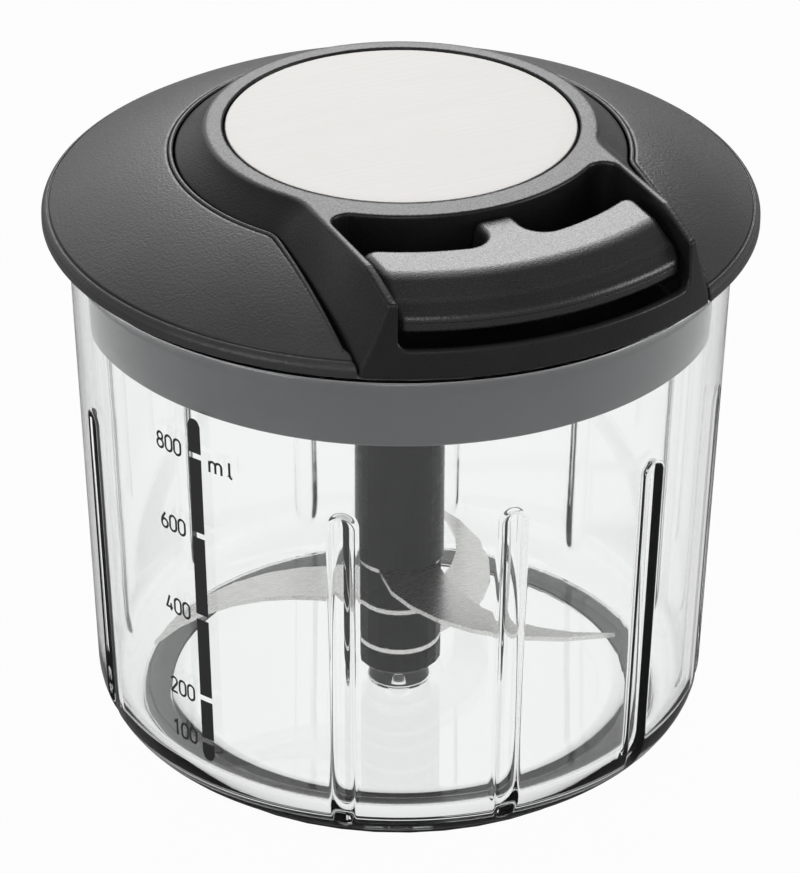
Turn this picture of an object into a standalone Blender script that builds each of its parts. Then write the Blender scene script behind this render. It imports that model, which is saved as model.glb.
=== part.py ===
# Pull-cord food chopper: a clear bowl, a blade insert, and a lid that holds a sprung cord reel.
# Sizes are in millimetres and become metres in the helpers. The origin is the bowl's axis at the
# bottom of the anti-slip ring, +Z is up, and the handle pulls out along -Y.

from math import acos, atan, atan2, ceil, cos, degrees, hypot, pi, radians, sin, sqrt, tau

import bmesh
import bpy
from mathutils import Matrix, Vector

MM = 0.001
STEPS = 64
GASKET_STEPS = 48
REEL_STEPS = 32
SMALL_STEPS = 20
TINY_STEPS = 16
SCREW_STEPS = 12
WELD = 0.002
SEAT_GAP = 0.3
RUNNING_GAP = 0.3
LONG_CUT = 60.0

# bowl
BOWL_FOOT_Z = 1.0
BOWL_RIM_Z = 107.2
BOWL_RIM_RADIUS = 64.6
BOWL_DRAFT = 0.038
BOWL_WALL = 2.8
BOWL_CORNER_RADIUS = 12.0
BOWL_FLOOR = 4.2
RIM_BEAD = 0.6
RIM_BEAD_HEIGHT = 3.0
BOWL_TURN_DEG = -5.0

# flutes in the bowl's wall, one place kept free for the volume scale
FLUTE_COUNT = 12
SCALE_PLACE = 10
FLUTE_RADIUS = 2.7
FLUTE_DEPTH = 2.2
FLUTE_WALL = 2.3
FLUTE_TOP_Z = 77.0
FLUTE_SIDES = 10

# anti-slip ring
FOOT_RING_OUTER = 52.5
FOOT_RING_WIDTH = 5.7
FOOT_RING_SUNK = 1.6

# pivot in the bowl's floor
PIVOT_BOSS_RADIUS = 6.0
PIVOT_BOSS_HEIGHT = 3.8
PIVOT_PIN_RADIUS = 1.5
PIVOT_PIN_HEIGHT = 15.0
PIVOT_PIN_SUNK = 5.0

# blade insert
SHAFT_RADIUS = 9.0
SHAFT_TOP_Z = 93.5
SPACER_RADIUS = 8.5
SPACER_HEIGHT = 7.6
FOOT_HEIGHT = 5.0
CORE_RADIUS = 5.6
CORE_ENTRY = 8.0
BLADE_THICKNESS = 1.0
BLADE_REACH = 52.0
BLADE_ROOT_WIDTH = 13.0
BLADE_SWEEP_DEG = 38.0
BLADE_EYE_RADIUS = 8.4
BLADE_TURNS_DEG = (20.0, 140.0, 260.0)
HEX_RADIUS = 4.6
HEX_LENGTH = 9.0

# lid base with its grey collar
COLLAR_GAP = 0.4
COLLAR_BOTTOM_Z = 92.0
COLLAR_WALL = 2.2
BASE_FLOOR_UNDER_Z = 96.5
BASE_FLOOR = 2.5
FLANGE_THICKNESS = 1.5
FLANGE_INSET = 1.5
GASKET_THICKNESS = 0.8

# cover and tower
BRIM_RADIUS = 69.5
BRIM_EDGE = 2.3
BRIM_ROUND = 1.6
COVER_STRAIGHTNESS = 0.58
COVER_WALL = 2.2
COVER_JOINT = 0.35
TOWER_ROOF = 4.3
TOWER_TOP_RADIUS = 37.9
FLANK_WIDTH = 5.7
FLANK_DROP = 4.7
FLANK_HOLLOW = 0.5
WING_HALF_WIDTH = 30.8
WING_FLARE = 0.5
WING_FILLET = 11.0
FLANK_FILLET = 8.0
FLANK_TAPER = 0.7
NOSE_START = 51.3
NOSE_END = 61.8
NOSE_DROP = 2.9
EDGE_ROUND = 0.5
HOUSING_WALL = 2.5

# handle bay
BAY_BACK_RADIUS = 39.9
BAY_HALF_WIDTH = 29.6
BAY_DEPTH = 12.5
BAY_SILL = 1.6
BAY_SINK = 2.8
BAY_CORNER = 3.2
BAY_BOTTOM_ROUND = 2.2

# disc on the tower
DISC_RADIUS = 33.9
DISC_THICKNESS = 1.2
DISC_GAP = 0.45
DISC_SUNK = 0.2
DISC_ROUND = 0.25

# reel and its drive
CAVITY_RADIUS = 36.6
AXLE_RADIUS = 3.0
AXLE_SUNK = 1.6
REEL_FLANGE_RADIUS = 34.0
REEL_FLANGE = 1.2
REEL_DRUM_RADIUS = 19.0
REEL_ROOM = 6.0
REEL_HEADROOM = 0.8
CUP_RADIUS = 28.2
CUP_WALL = 1.8
CUP_FLOOR = 1.2
CUP_HEIGHT = 10.2
ARBOR_RADIUS = 6.2
SPRING_THICKNESS = 0.6
SPRING_TURNS = 5.0
SPRING_POINTS_PER_TURN = 12
CORD_RADIUS = 0.6
CORD_PITCH = 1.7
CORD_POINTS_PER_TURN = 24
CORD_RISE = 4.2
EYELET_RADIUS = 2.7
EYELET_BORE = 1.4
EYELET_FLANGE = 1.1
EYELET_LIP = 0.7

# drive hub, its clip and the one-way clutch
BEARING_RADIUS = 6.0
BEARING_WALL = 2.2
BEARING_RISE = 2.0
WHEEL_HEIGHT = 3.0
WHEEL_RADIUS = 15.5
TOOTH_DEPTH = 2.2
TOOTH_COUNT = 12
CLIP_RADIUS = 8.2
CLIP_THICKNESS = 0.8
CLIP_GROOVE_RADIUS = 4.9
PAWL_PIVOT_RADIUS = 21.0
PAWL_EYE_RADIUS = 2.6
PAWL_PIN_RADIUS = 1.2
PAWL_COUNT = 2
PAWL_LIFT = 0.9
PAWL_TIP_DEG = -26.0

# lid screws
SCREW_CIRCLE = 41.5
SCREW_COUNT = 4
SCREW_SHANK_RADIUS = 1.3
SCREW_LENGTH = 9.0
SCREW_HEAD_RADIUS = 2.8
SCREW_HEAD = 1.8
SCREW_BOSS_RADIUS = 3.2

# handle
LIP_INSET = 2.3
BAR_DEPTH = 17.4
CREASE_DEPTH = 9.0
HANDLE_SUNK = 1.9
HANDLE_HEIGHT = 8.3
LIP_DROP = 3.7
HANDLE_HALF_WIDTH = 28.4
HANDLE_DRAFT = 1.2
BAR_CORNER = 3.0
STEM_HALF_WIDTH = 3.8
STEM_DRAFT = 1.5
STEM_FILLET = 5.6
STEM_GAP = 0.5
STEM_CORNER = 1.6
HANDLE_EDGE = 1.1
BAR_STEPS = 72
KNOT_RADIUS = 2.2
KNOT_LENGTH = 4.0
KNOT_INSET = 0.7
HANDLE_SCREW_X = 16.0
HANDLE_SCREW_INSET = 6.2
HANDLE_SCREW_RADIUS = 1.1
HANDLE_SCREW_HEAD_RADIUS = 2.2
HANDLE_SCREW_HEAD = 1.2
HANDLE_SCREW_REACH = 2.6

# heights and radii that follow from the sizes above
BOWL_FLOOR_Z = BOWL_FOOT_Z + BOWL_FLOOR
PIVOT_BOSS_Z = BOWL_FLOOR_Z + PIVOT_BOSS_HEIGHT
FOOT_Z = PIVOT_BOSS_Z + SEAT_GAP
BLADE_PITCH = BLADE_THICKNESS + SPACER_HEIGHT + 2 * SEAT_GAP
BLADE_Z = [FOOT_Z + FOOT_HEIGHT + SEAT_GAP + BLADE_PITCH * i for i in range(len(BLADE_TURNS_DEG))]
SHAFT_Z = BLADE_Z[-1] + BLADE_THICKNESS + SEAT_GAP
BASE_FLOOR_Z = BASE_FLOOR_UNDER_Z + BASE_FLOOR
GASKET_Z = BOWL_RIM_Z + SEAT_GAP
FLANGE_Z = GASKET_Z + GASKET_THICKNESS + SEAT_GAP
FLANGE_TOP_Z = FLANGE_Z + FLANGE_THICKNESS
BRIM_Z = FLANGE_TOP_Z + SEAT_GAP
BRIM_TOP_Z = BRIM_Z + BRIM_EDGE
FLANGE_RADIUS = BRIM_RADIUS - FLANGE_INSET
FLANK_RADIUS = TOWER_TOP_RADIUS + FLANK_WIDTH
FLANK_HALF_WIDTH = WING_HALF_WIDTH + FLANK_WIDTH
HOUSING_FOOT_Z = BASE_FLOOR_Z + SEAT_GAP
BEARING_TOP_Z = BASE_FLOOR_Z + BEARING_RISE
WHEEL_Z = BEARING_TOP_Z + RUNNING_GAP
WHEEL_TOP_Z = WHEEL_Z + WHEEL_HEIGHT
CUP_Z = WHEEL_TOP_Z + RUNNING_GAP
REEL_Z = CUP_Z + CUP_HEIGHT + SEAT_GAP
WINDING_Z = REEL_Z + REEL_FLANGE
REEL_TOP_Z = WINDING_Z + REEL_ROOM + REEL_FLANGE
CORD_EXIT_Z = WINDING_Z + CORD_RISE
PARTING_Z = CORD_EXIT_Z
CAVITY_TOP_Z = REEL_TOP_Z + REEL_HEADROOM
TOWER_TOP_Z = CAVITY_TOP_Z + TOWER_ROOF
BAY_SILL_Z = TOWER_TOP_Z - BAY_DEPTH
HANDLE_TOP_Z = TOWER_TOP_Z - HANDLE_SUNK
HANDLE_BOTTOM_Z = HANDLE_TOP_Z - HANDLE_HEIGHT
LIP_TOP_Z = HANDLE_TOP_Z - LIP_DROP
AXLE_BORE = AXLE_RADIUS + RUNNING_GAP
WINDING_RADIUS = REEL_DRUM_RADIUS + CORD_RADIUS + RUNNING_GAP
HUB_NECK_Z = SHAFT_TOP_Z + SEAT_GAP
EYELET_SEAT = CAVITY_RADIUS - 2 * SEAT_GAP
CORD_BEND = EYELET_SEAT - EYELET_FLANGE - 1.5
LIP_RADIUS = BRIM_RADIUS - LIP_INSET
BAR_BACK_RADIUS = LIP_RADIUS - BAR_DEPTH
BAR_CREASE_RADIUS = BAR_BACK_RADIUS + CREASE_DEPTH
KNOT_Y = -BAR_BACK_RADIUS - KNOT_INSET
HANDLE_SCREW_Y = -BAR_BACK_RADIUS - HANDLE_SCREW_INSET
DISC_Z = TOWER_TOP_Z - DISC_SUNK - DISC_THICKNESS
DISC_SEAT_Z = DISC_Z - SEAT_GAP

COLLECTION = "pull_cord_chopper"


# scene and materials

def clear_scene():
    for thing in list(bpy.data.objects):
        bpy.data.objects.remove(thing, do_unlink=True)


def new_collection(name):
    made = bpy.data.collections.new(name)
    bpy.context.scene.collection.children.link(made)
    return made


def material(name, color, roughness, metallic=0.0, transmission=0.0):
    made = bpy.data.materials.new(name)
    made.use_nodes = True
    shader = made.node_tree.nodes["Principled BSDF"]
    shader.inputs["Base Color"].default_value = (*color, 1.0)
    shader.inputs["Roughness"].default_value = roughness
    shader.inputs["Metallic"].default_value = metallic
    shader.inputs["Transmission Weight"].default_value = transmission
    made.diffuse_color = (*color, 1.0)
    return made


clear_scene()
PARTS = new_collection(COLLECTION)
CUTTERS = new_collection("cutters")
CLEAR = material("clear_plastic", (0.93, 0.95, 0.95), 0.04, transmission=1.0)
CHARCOAL = material("charcoal_plastic", (0.062, 0.062, 0.066), 0.5)
BLACK = material("black_plastic", (0.018, 0.018, 0.02), 0.45)
GREY = material("grey_plastic", (0.11, 0.11, 0.118), 0.4)
RUBBER = material("black_rubber", (0.02, 0.02, 0.02), 0.75)
SILICONE = material("grey_silicone", (0.16, 0.16, 0.165), 0.6)
STEEL = material("brushed_steel", (0.78, 0.765, 0.745), 0.32, metallic=1.0)
BLADE_STEEL = material("blade_steel", (0.72, 0.72, 0.72), 0.22, metallic=1.0)
WHITE = material("white_nylon", (0.8, 0.8, 0.78), 0.45)
CORD = material("cord", (0.05, 0.05, 0.055), 0.8)


# building blocks

def link(mesh, name, collection=PARTS):
    made = bpy.data.objects.new(name, mesh)
    collection.objects.link(made)
    return made


def hide_as_cutter(made):
    made.hide_render = True
    made.display_type = "WIRE"
    return made


def weld(mesh):
    """Merges points that a Boolean left closer than a micron."""
    shape = bmesh.new()
    shape.from_mesh(mesh)
    bmesh.ops.remove_doubles(shape, verts=shape.verts, dist=WELD * MM)
    bmesh.ops.dissolve_degenerate(shape, edges=shape.edges, dist=WELD * MM)
    shape.to_mesh(mesh)
    shape.free()


def settle(made):
    """Replaces the object's mesh by the one its modifiers make."""
    graph = bpy.context.evaluated_depsgraph_get()
    mesh = bpy.data.meshes.new_from_object(made.evaluated_get(graph))
    made.modifiers.clear()
    weld(mesh)
    made.data = mesh
    return made


def finish(made, paint, parent=None, sharp=35.0):
    """Gives a part its material, smooth shading with sharp creases, and its parent."""
    made.data.materials.clear()
    made.data.materials.append(paint)
    made.data.shade_smooth()
    made.data.set_sharp_from_angle(angle=radians(sharp))
    if parent is not None:
        hang(made, parent)
    return made


def hang(made, parent):
    """Parents an object and keeps it where it is."""
    bpy.context.view_layer.update()
    place = made.matrix_world.copy()
    made.parent = parent
    made.matrix_parent_inverse = parent.matrix_world.inverted()
    made.matrix_world = place
    bpy.context.view_layer.update()


def joint_empty(name, place=(0.0, 0.0, 0.0), parent=None):
    """An empty on a joint's axis, which its moving pieces hang from."""
    made = bpy.data.objects.new(name, None)
    made.location = Vector(place) * MM
    PARTS.objects.link(made)
    if parent is not None:
        hang(made, parent)
    bpy.context.view_layer.update()
    return made


def signed_area(points):
    ends = zip(points, points[1:] + points[:1])
    return sum(a[0] * b[1] - b[0] * a[1] for a, b in ends) / 2


def turned(name, profile, steps=STEPS, collection=PARTS):
    """A solid of revolution about Z from a profile of (radius, height).

    A profile that starts and ends on the axis stays open, and any other is a closed ring.
    """
    on_axis = profile[0][0] == 0 and profile[-1][0] == 0
    points = list(profile)
    if signed_area(points) > 0:
        points.reverse()
    mesh = bpy.data.meshes.new(name)
    count = len(points)
    edges = [(i, i + 1) for i in range(count - 1)]
    if not on_axis:
        edges.append((count - 1, 0))
    mesh.from_pydata([(r * MM, 0, z * MM) for r, z in points], edges, [])
    made = link(mesh, name, collection)
    screw = made.modifiers.new("turn", "SCREW")
    screw.steps = steps
    screw.render_steps = steps
    screw.use_merge_vertices = True
    screw.merge_threshold = 0.00001
    return settle(made)


def plate(name, outline, low, high, collection=PARTS):
    """A flat outline of (x, y) points between two heights."""
    curve = bpy.data.curves.new(name, "CURVE")
    curve.dimensions = "2D"
    curve.fill_mode = "BOTH"
    curve.extrude = (high - low) / 2 * MM
    spline = curve.splines.new("POLY")
    spline.points.add(len(outline) - 1)
    for point, (x, y) in zip(spline.points, outline):
        point.co = (x * MM, y * MM, 0, 1)
    spline.use_cyclic_u = True
    guide = link(curve, name + "_curve", collection)
    guide.location.z = (high + low) / 2 * MM
    return mesh_of_curve(guide, name, collection)


def tube(name, points, radius, collection=PARTS, sides=1):
    """A round tube along (x, y, z) points, with flat ends."""
    curve = bpy.data.curves.new(name, "CURVE")
    curve.dimensions = "3D"
    curve.bevel_depth = radius * MM
    curve.bevel_resolution = sides
    curve.use_fill_caps = True
    spline = curve.splines.new("POLY")
    spline.points.add(len(points) - 1)
    for point, place in zip(spline.points, points):
        point.co = (*(Vector(place) * MM), 1)
    return mesh_of_curve(link(curve, name + "_curve", collection), name, collection)


def mesh_of_curve(guide, name, collection):
    """The curve as a mesh object with its caps welded, and the curve removed."""
    bpy.context.view_layer.update()
    graph = bpy.context.evaluated_depsgraph_get()
    mesh = bpy.data.meshes.new_from_object(guide.evaluated_get(graph))
    mesh.transform(guide.matrix_world)
    bpy.data.objects.remove(guide, do_unlink=True)
    shape = bmesh.new()
    shape.from_mesh(mesh)
    bmesh.ops.remove_doubles(shape, verts=shape.verts, dist=0.000001)
    bmesh.ops.recalc_face_normals(shape, faces=shape.faces)
    shape.to_mesh(mesh)
    shape.free()
    return link(mesh, name, collection)


def loft(name, rings, collection=PARTS, flat_ends=True):
    """A closed solid through rings that mirror in X.

    Each ring runs from the back centre down the +X side to the front centre and up the other.
    Ends that aren't flat are capped by strips between mirrored points.
    """
    shape = bmesh.new()
    made = [[shape.verts.new(Vector(p) * MM) for p in ring] for ring in rings]
    count = len(rings[0])
    for low, high in zip(made, made[1:]):
        for i in range(count):
            j = (i + 1) % count
            shape.faces.new((low[i], low[j], high[j], high[i]))
    for ring in (made[0], made[-1]):
        if flat_ends:
            shape.faces.new(ring)
            continue
        for i in range(count // 2):
            corners = [ring[i], ring[i + 1], ring[-i - 1], ring[-i]]
            shape.faces.new(list(dict.fromkeys(corners)))
    bmesh.ops.recalc_face_normals(shape, faces=shape.faces)
    mesh = bpy.data.meshes.new(name)
    shape.to_mesh(mesh)
    shape.free()
    return link(mesh, name, collection)


def rod(name, radius, start, end, sides=SMALL_STEPS, turn_deg=0.0, collection=PARTS):
    """A cylinder or a prism between two points, its first corner turned about its own axis."""
    start = Vector(start) * MM
    end = Vector(end) * MM
    along = end - start
    shape = bmesh.new()
    bmesh.ops.create_cone(
        shape, cap_ends=True, segments=sides, radius1=radius * MM, radius2=radius * MM, depth=along.length
    )
    spin = Matrix.Rotation(radians(turn_deg), 4, "Z")
    aim = along.to_track_quat("Z", "Y").to_matrix().to_4x4()
    shape.transform(Matrix.Translation((start + end) / 2) @ aim @ spin)
    mesh = bpy.data.meshes.new(name)
    shape.to_mesh(mesh)
    shape.free()
    return link(mesh, name, collection)


def box(name, low, high, collection=PARTS):
    shape = bmesh.new()
    bmesh.ops.create_cube(shape, size=1.0)
    low = Vector(low) * MM
    high = Vector(high) * MM
    size = high - low
    shape.transform(Matrix.Translation((low + high) / 2) @ Matrix.Diagonal((*size, 1.0)))
    mesh = bpy.data.meshes.new(name)
    shape.to_mesh(mesh)
    shape.free()
    return link(mesh, name, collection)


def cut(made, cutter, operation="DIFFERENCE"):
    """Cuts, joins or crosses two solids, and puts the second one among the cutters."""
    for collection in list(cutter.users_collection):
        collection.objects.unlink(cutter)
    CUTTERS.objects.link(cutter)
    hide_as_cutter(cutter)
    change = made.modifiers.new(operation.lower(), "BOOLEAN")
    change.operation = operation
    change.object = cutter
    bpy.context.view_layer.update()
    return settle(made)


def join(made, other):
    return cut(made, other, "UNION")


def rounded(made, width, segments=2, angle=40.0):
    bevel = made.modifiers.new("round", "BEVEL")
    bevel.width = width * MM
    bevel.segments = segments
    bevel.limit_method = "ANGLE"
    bevel.angle_limit = radians(angle)
    bevel.use_clamp_overlap = True
    return settle(made)


def arc(center, radius, start_deg, end_deg, count):
    """Points along an arc, both ends included."""
    step = (end_deg - start_deg) / (count - 1)
    angles = [radians(start_deg + step * i) for i in range(count)]
    return [(center[0] + radius * cos(a), center[1] + radius * sin(a)) for a in angles]


def spot(radius, angle_deg):
    return radius * cos(radians(angle_deg)), radius * sin(radians(angle_deg))


def at_bearing(radius, bearing_deg, z):
    """A point at a bearing counted from the handle, -Y, towards +X."""
    bearing = radians(bearing_deg)
    return (radius * sin(bearing), -radius * cos(bearing), z)


# bowl

def wall_radius(z):
    return BOWL_RIM_RADIUS - BOWL_DRAFT * (BOWL_RIM_Z - z)


def corner_profile(inset, floor_z):
    """The bowl's bottom corner, from the floor out and up to the drafted wall."""
    radius = BOWL_CORNER_RADIUS - inset
    middle_z = floor_z + radius
    middle_r = wall_radius(middle_z) - inset - radius / cos(atan(BOWL_DRAFT))
    lean = degrees(atan(BOWL_DRAFT))
    return arc((middle_r, middle_z), radius, -90, -lean, 8)


def flute_line():
    """The places of one flute's axis at bearing 0: below the floor, and at its top."""
    low_z = -BOWL_CORNER_RADIUS
    high_z = FLUTE_TOP_Z - FLUTE_RADIUS
    out = FLUTE_RADIUS - FLUTE_DEPTH
    return wall_radius(low_z) + out, low_z, wall_radius(high_z) + out, high_z


def flute_bearings():
    step = 360 / FLUTE_COUNT
    return [BOWL_TURN_DEG + step * i for i in range(FLUTE_COUNT) if i != SCALE_PLACE]


def flutes(name, radius):
    """All flutes of one radius as round-topped bars that follow the wall's draft."""
    low_r, low_z, high_r, high_z = flute_line()
    lean = atan2(high_r - low_r, high_z - low_z)
    length = hypot(high_r - low_r, high_z - low_z)
    ring = FLUTE_SIDES
    shape = bmesh.new()
    for bearing in flute_bearings():
        turn = radians(bearing)
        place = Matrix.Translation(Vector(at_bearing(low_r, bearing, low_z)) * MM)
        tilt = Matrix.Rotation(turn, 4, "Z") @ Matrix.Rotation(lean, 4, "X")
        rows = [(radius, 0.0)] + [
            (radius * cos(radians(a)), length + radius * sin(radians(a))) for a in (0, 30, 60)
        ]
        loops = []
        for row_radius, height in rows:
            circle = arc((0, 0), row_radius, 0, 360 - 360 / ring, ring)
            points = [place @ tilt @ Vector((x * MM, y * MM, height * MM)) for x, y in circle]
            loops.append([shape.verts.new(p) for p in points])
        tip = shape.verts.new(place @ tilt @ Vector((0, 0, (length + radius) * MM)))
        shape.faces.new(list(reversed(loops[0])))
        for low, high in zip(loops, loops[1:]):
            for i in range(ring):
                j = (i + 1) % ring
                shape.faces.new((low[i], low[j], high[j], high[i]))
        for i in range(ring):
            shape.faces.new((loops[-1][i], loops[-1][(i + 1) % ring], tip))
    mesh = bpy.data.meshes.new(name)
    shape.to_mesh(mesh)
    shape.free()
    return link(mesh, name, CUTTERS)


def build_bowl(parent):
    bead_z = BOWL_RIM_Z - RIM_BEAD_HEIGHT
    rim_out = BOWL_RIM_RADIUS + RIM_BEAD
    rim_in = BOWL_RIM_RADIUS - BOWL_WALL
    outer = (
        [(0, BOWL_FOOT_Z)]
        + corner_profile(0, BOWL_FOOT_Z)
        + [(wall_radius(bead_z), bead_z), (rim_out, bead_z + RIM_BEAD)]
        + [(rim_out, BOWL_RIM_Z - RIM_BEAD), (rim_out - RIM_BEAD, BOWL_RIM_Z), (0, BOWL_RIM_Z)]
    )
    bowl = turned("bowl", outer)
    inner = (
        [(0, BOWL_FLOOR_Z)]
        + corner_profile(BOWL_WALL, BOWL_FLOOR_Z)
        + [(rim_in, BOWL_RIM_Z), (rim_in, BOWL_RIM_Z + BOWL_WALL), (0, BOWL_RIM_Z + BOWL_WALL)]
    )
    hollow = turned("bowl_hollow", inner, collection=CUTTERS)
    cut(hollow, flutes("flute_ridges", FLUTE_RADIUS + FLUTE_WALL))
    cut(bowl, hollow)
    cut(bowl, flutes("flute_grooves", FLUTE_RADIUS))
    groove_top = BOWL_FOOT_Z + FOOT_RING_SUNK
    groove = [
        (FOOT_RING_OUTER - FOOT_RING_WIDTH - SEAT_GAP, groove_top),
        (FOOT_RING_OUTER + SEAT_GAP, groove_top),
        (FOOT_RING_OUTER + SEAT_GAP, -BOWL_FOOT_Z),
        (FOOT_RING_OUTER - FOOT_RING_WIDTH - SEAT_GAP, -BOWL_FOOT_Z),
    ]
    cut(bowl, turned("foot_groove", groove, collection=CUTTERS))
    boss = [
        (0, BOWL_FLOOR_Z - BOWL_FLOOR / 2),
        (PIVOT_BOSS_RADIUS, BOWL_FLOOR_Z - BOWL_FLOOR / 2),
        (PIVOT_BOSS_RADIUS, PIVOT_BOSS_Z - 1),
        (PIVOT_BOSS_RADIUS - 1, PIVOT_BOSS_Z),
        (0, PIVOT_BOSS_Z),
    ]
    join(bowl, turned("pivot_boss", boss, SMALL_STEPS))
    hole_z = PIVOT_BOSS_Z - PIVOT_PIN_SUNK - SEAT_GAP
    hole = PIVOT_PIN_RADIUS + SEAT_GAP
    cut(bowl, rod("pin_hole", hole, (0, 0, hole_z), (0, 0, PIVOT_BOSS_Z + 1)))
    finish(bowl, CLEAR, parent)


def build_foot_ring(parent):
    top = BOWL_FOOT_Z + FOOT_RING_SUNK - SEAT_GAP
    inner = FOOT_RING_OUTER - FOOT_RING_WIDTH
    soft = 0.5
    profile = [
        (inner, 0),
        (FOOT_RING_OUTER - soft, 0),
        (FOOT_RING_OUTER, soft),
        (FOOT_RING_OUTER, top),
        (inner, top),
    ]
    finish(turned("antislip_ring", profile, GASKET_STEPS), RUBBER, parent)


def build_pivot_pin(parent):
    low = PIVOT_BOSS_Z - PIVOT_PIN_SUNK
    high = PIVOT_BOSS_Z + PIVOT_PIN_HEIGHT
    tip = PIVOT_PIN_RADIUS / 2
    profile = [
        (0, low),
        (PIVOT_PIN_RADIUS, low),
        (PIVOT_PIN_RADIUS, high - tip),
        (PIVOT_PIN_RADIUS - tip, high),
        (0, high),
    ]
    finish(turned("pivot_pin", profile, TINY_STEPS), STEEL, parent)


# blade insert

def build_insert(parent):
    bore = PIVOT_PIN_RADIUS + RUNNING_GAP
    bore_top = PIVOT_BOSS_Z + PIVOT_PIN_HEIGHT + RUNNING_GAP
    core_top = SHAFT_Z + CORE_ENTRY
    foot_top = FOOT_Z + FOOT_HEIGHT
    foot = turned(
        "insert_foot",
        [
            (0, FOOT_Z),
            (SPACER_RADIUS - 1, FOOT_Z),
            (SPACER_RADIUS, FOOT_Z + 1),
            (SPACER_RADIUS, foot_top),
            (CORE_RADIUS, foot_top),
            (CORE_RADIUS, core_top - 0.6),
            (CORE_RADIUS - 0.6, core_top),
            (0, core_top),
        ],
        SMALL_STEPS,
    )
    cut(foot, rod("pivot_bore", bore, (0, 0, FOOT_Z - 1), (0, 0, bore_top)))
    finish(foot, BLACK, parent)
    inner = CORE_RADIUS + SEAT_GAP
    for name, blade_z in zip(("insert_spacer_lower", "insert_spacer_upper"), BLADE_Z):
        low = blade_z + BLADE_THICKNESS + SEAT_GAP
        ring = [
            (inner, low),
            (SPACER_RADIUS, low),
            (SPACER_RADIUS, low + SPACER_HEIGHT),
            (inner, low + SPACER_HEIGHT),
        ]
        finish(turned(name, ring, SMALL_STEPS), BLACK, parent)
    shaft = turned(
        "insert_shaft",
        [
            (0, SHAFT_Z),
            (SHAFT_RADIUS, SHAFT_Z),
            (SHAFT_RADIUS, SHAFT_TOP_Z - 1.2),
            (SHAFT_RADIUS - 1.2, SHAFT_TOP_Z),
            (0, SHAFT_TOP_Z),
        ],
        36,
    )
    socket_z = SHAFT_TOP_Z - HEX_LENGTH - SEAT_GAP
    hex_hole = HEX_RADIUS + SEAT_GAP / cos(pi / 6)
    cut(shaft, rod("hex_socket", hex_hole, (0, 0, socket_z), (0, 0, SHAFT_TOP_Z + 1), 6))
    cut(shaft, rod("core_socket", inner, (0, 0, SHAFT_Z - 1), (0, 0, core_top + SEAT_GAP)))
    finish(shaft, BLACK, parent)


def blade_outline():
    """A sickle blade: an eye round the core, a curved back and a concave edge to a point."""
    back = []
    edge = []
    steps = 7
    root = degrees(BLADE_ROOT_WIDTH / 2 / BLADE_EYE_RADIUS)
    for i in range(steps):
        share = (i + 1) / steps
        radius = BLADE_EYE_RADIUS + (BLADE_REACH - BLADE_EYE_RADIUS) * share
        sweep = BLADE_SWEEP_DEG * share**1.4
        half = BLADE_ROOT_WIDTH / 2 * (1 - share**1.6)
        middle = radians(sweep)
        along = Vector((cos(middle), sin(middle)))
        across = Vector((-along.y, along.x))
        point = along * radius
        if i == steps - 1:
            back.append((point.x, point.y))
        else:
            back.append(tuple(point + across * half))
            edge.append(tuple(point - across * half))
    eye = arc((0, 0), BLADE_EYE_RADIUS, root, 360 - root, 20)
    return eye + list(edge) + list(reversed(back))


def build_blades(parent):
    names = ("blade_lower", "blade_middle", "blade_upper")
    hole = CORE_RADIUS + SEAT_GAP
    for name, z, turn in zip(names, BLADE_Z, BLADE_TURNS_DEG):
        blade = plate(name, blade_outline(), z, z + BLADE_THICKNESS)
        cut(blade, rod(name + "_eye", hole, (0, 0, z - 1), (0, 0, z + BLADE_THICKNESS + 1)))
        blade.data.transform(Matrix.Rotation(radians(turn), 4, "Z"))
        finish(blade, BLADE_STEEL, parent)


# lid

def collar_radius(z):
    return wall_radius(z) - BOWL_WALL - COLLAR_GAP


def screw_places():
    step = 360 / SCREW_COUNT
    return [at_bearing(SCREW_CIRCLE, step * (i + 0.5), 0)[:2] for i in range(SCREW_COUNT)]


def build_lid_base(parent):
    bearing_bore = BEARING_RADIUS + RUNNING_GAP
    bearing_out = bearing_bore + BEARING_WALL
    inner_top = collar_radius(FLANGE_Z) - COLLAR_WALL
    inner_floor = collar_radius(BASE_FLOOR_Z) - COLLAR_WALL
    profile = [
        (bearing_bore, BASE_FLOOR_UNDER_Z),
        (collar_radius(BASE_FLOOR_UNDER_Z) - COLLAR_WALL, BASE_FLOOR_UNDER_Z),
        (collar_radius(COLLAR_BOTTOM_Z) - COLLAR_WALL, COLLAR_BOTTOM_Z),
        (collar_radius(COLLAR_BOTTOM_Z) - 0.6, COLLAR_BOTTOM_Z),
        (collar_radius(COLLAR_BOTTOM_Z), COLLAR_BOTTOM_Z + 0.6),
        (collar_radius(FLANGE_Z), FLANGE_Z),
        (FLANGE_RADIUS, FLANGE_Z),
        (FLANGE_RADIUS, FLANGE_TOP_Z),
        (inner_top, FLANGE_TOP_Z),
        (inner_floor, BASE_FLOOR_Z),
        (bearing_out, BASE_FLOOR_Z),
        (bearing_out, BEARING_TOP_Z),
        (bearing_bore, BEARING_TOP_Z),
    ]
    base = turned("lid_base", profile)
    hole = SCREW_SHANK_RADIUS + SEAT_GAP
    for x, y in screw_places():
        low = (x, y, BASE_FLOOR_UNDER_Z - 1)
        cut(base, rod("screw_clearance", hole, low, (x, y, BASE_FLOOR_Z + 1), 12))
    finish(base, GREY, parent)


def build_gasket(parent):
    inner = collar_radius(GASKET_Z) + SEAT_GAP
    outer = BOWL_RIM_RADIUS
    low = GASKET_Z
    high = low + GASKET_THICKNESS
    ring = [(inner, low), (outer, low), (outer, high), (inner, high)]
    finish(turned("rim_gasket", ring, GASKET_STEPS), SILICONE, parent)


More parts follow.
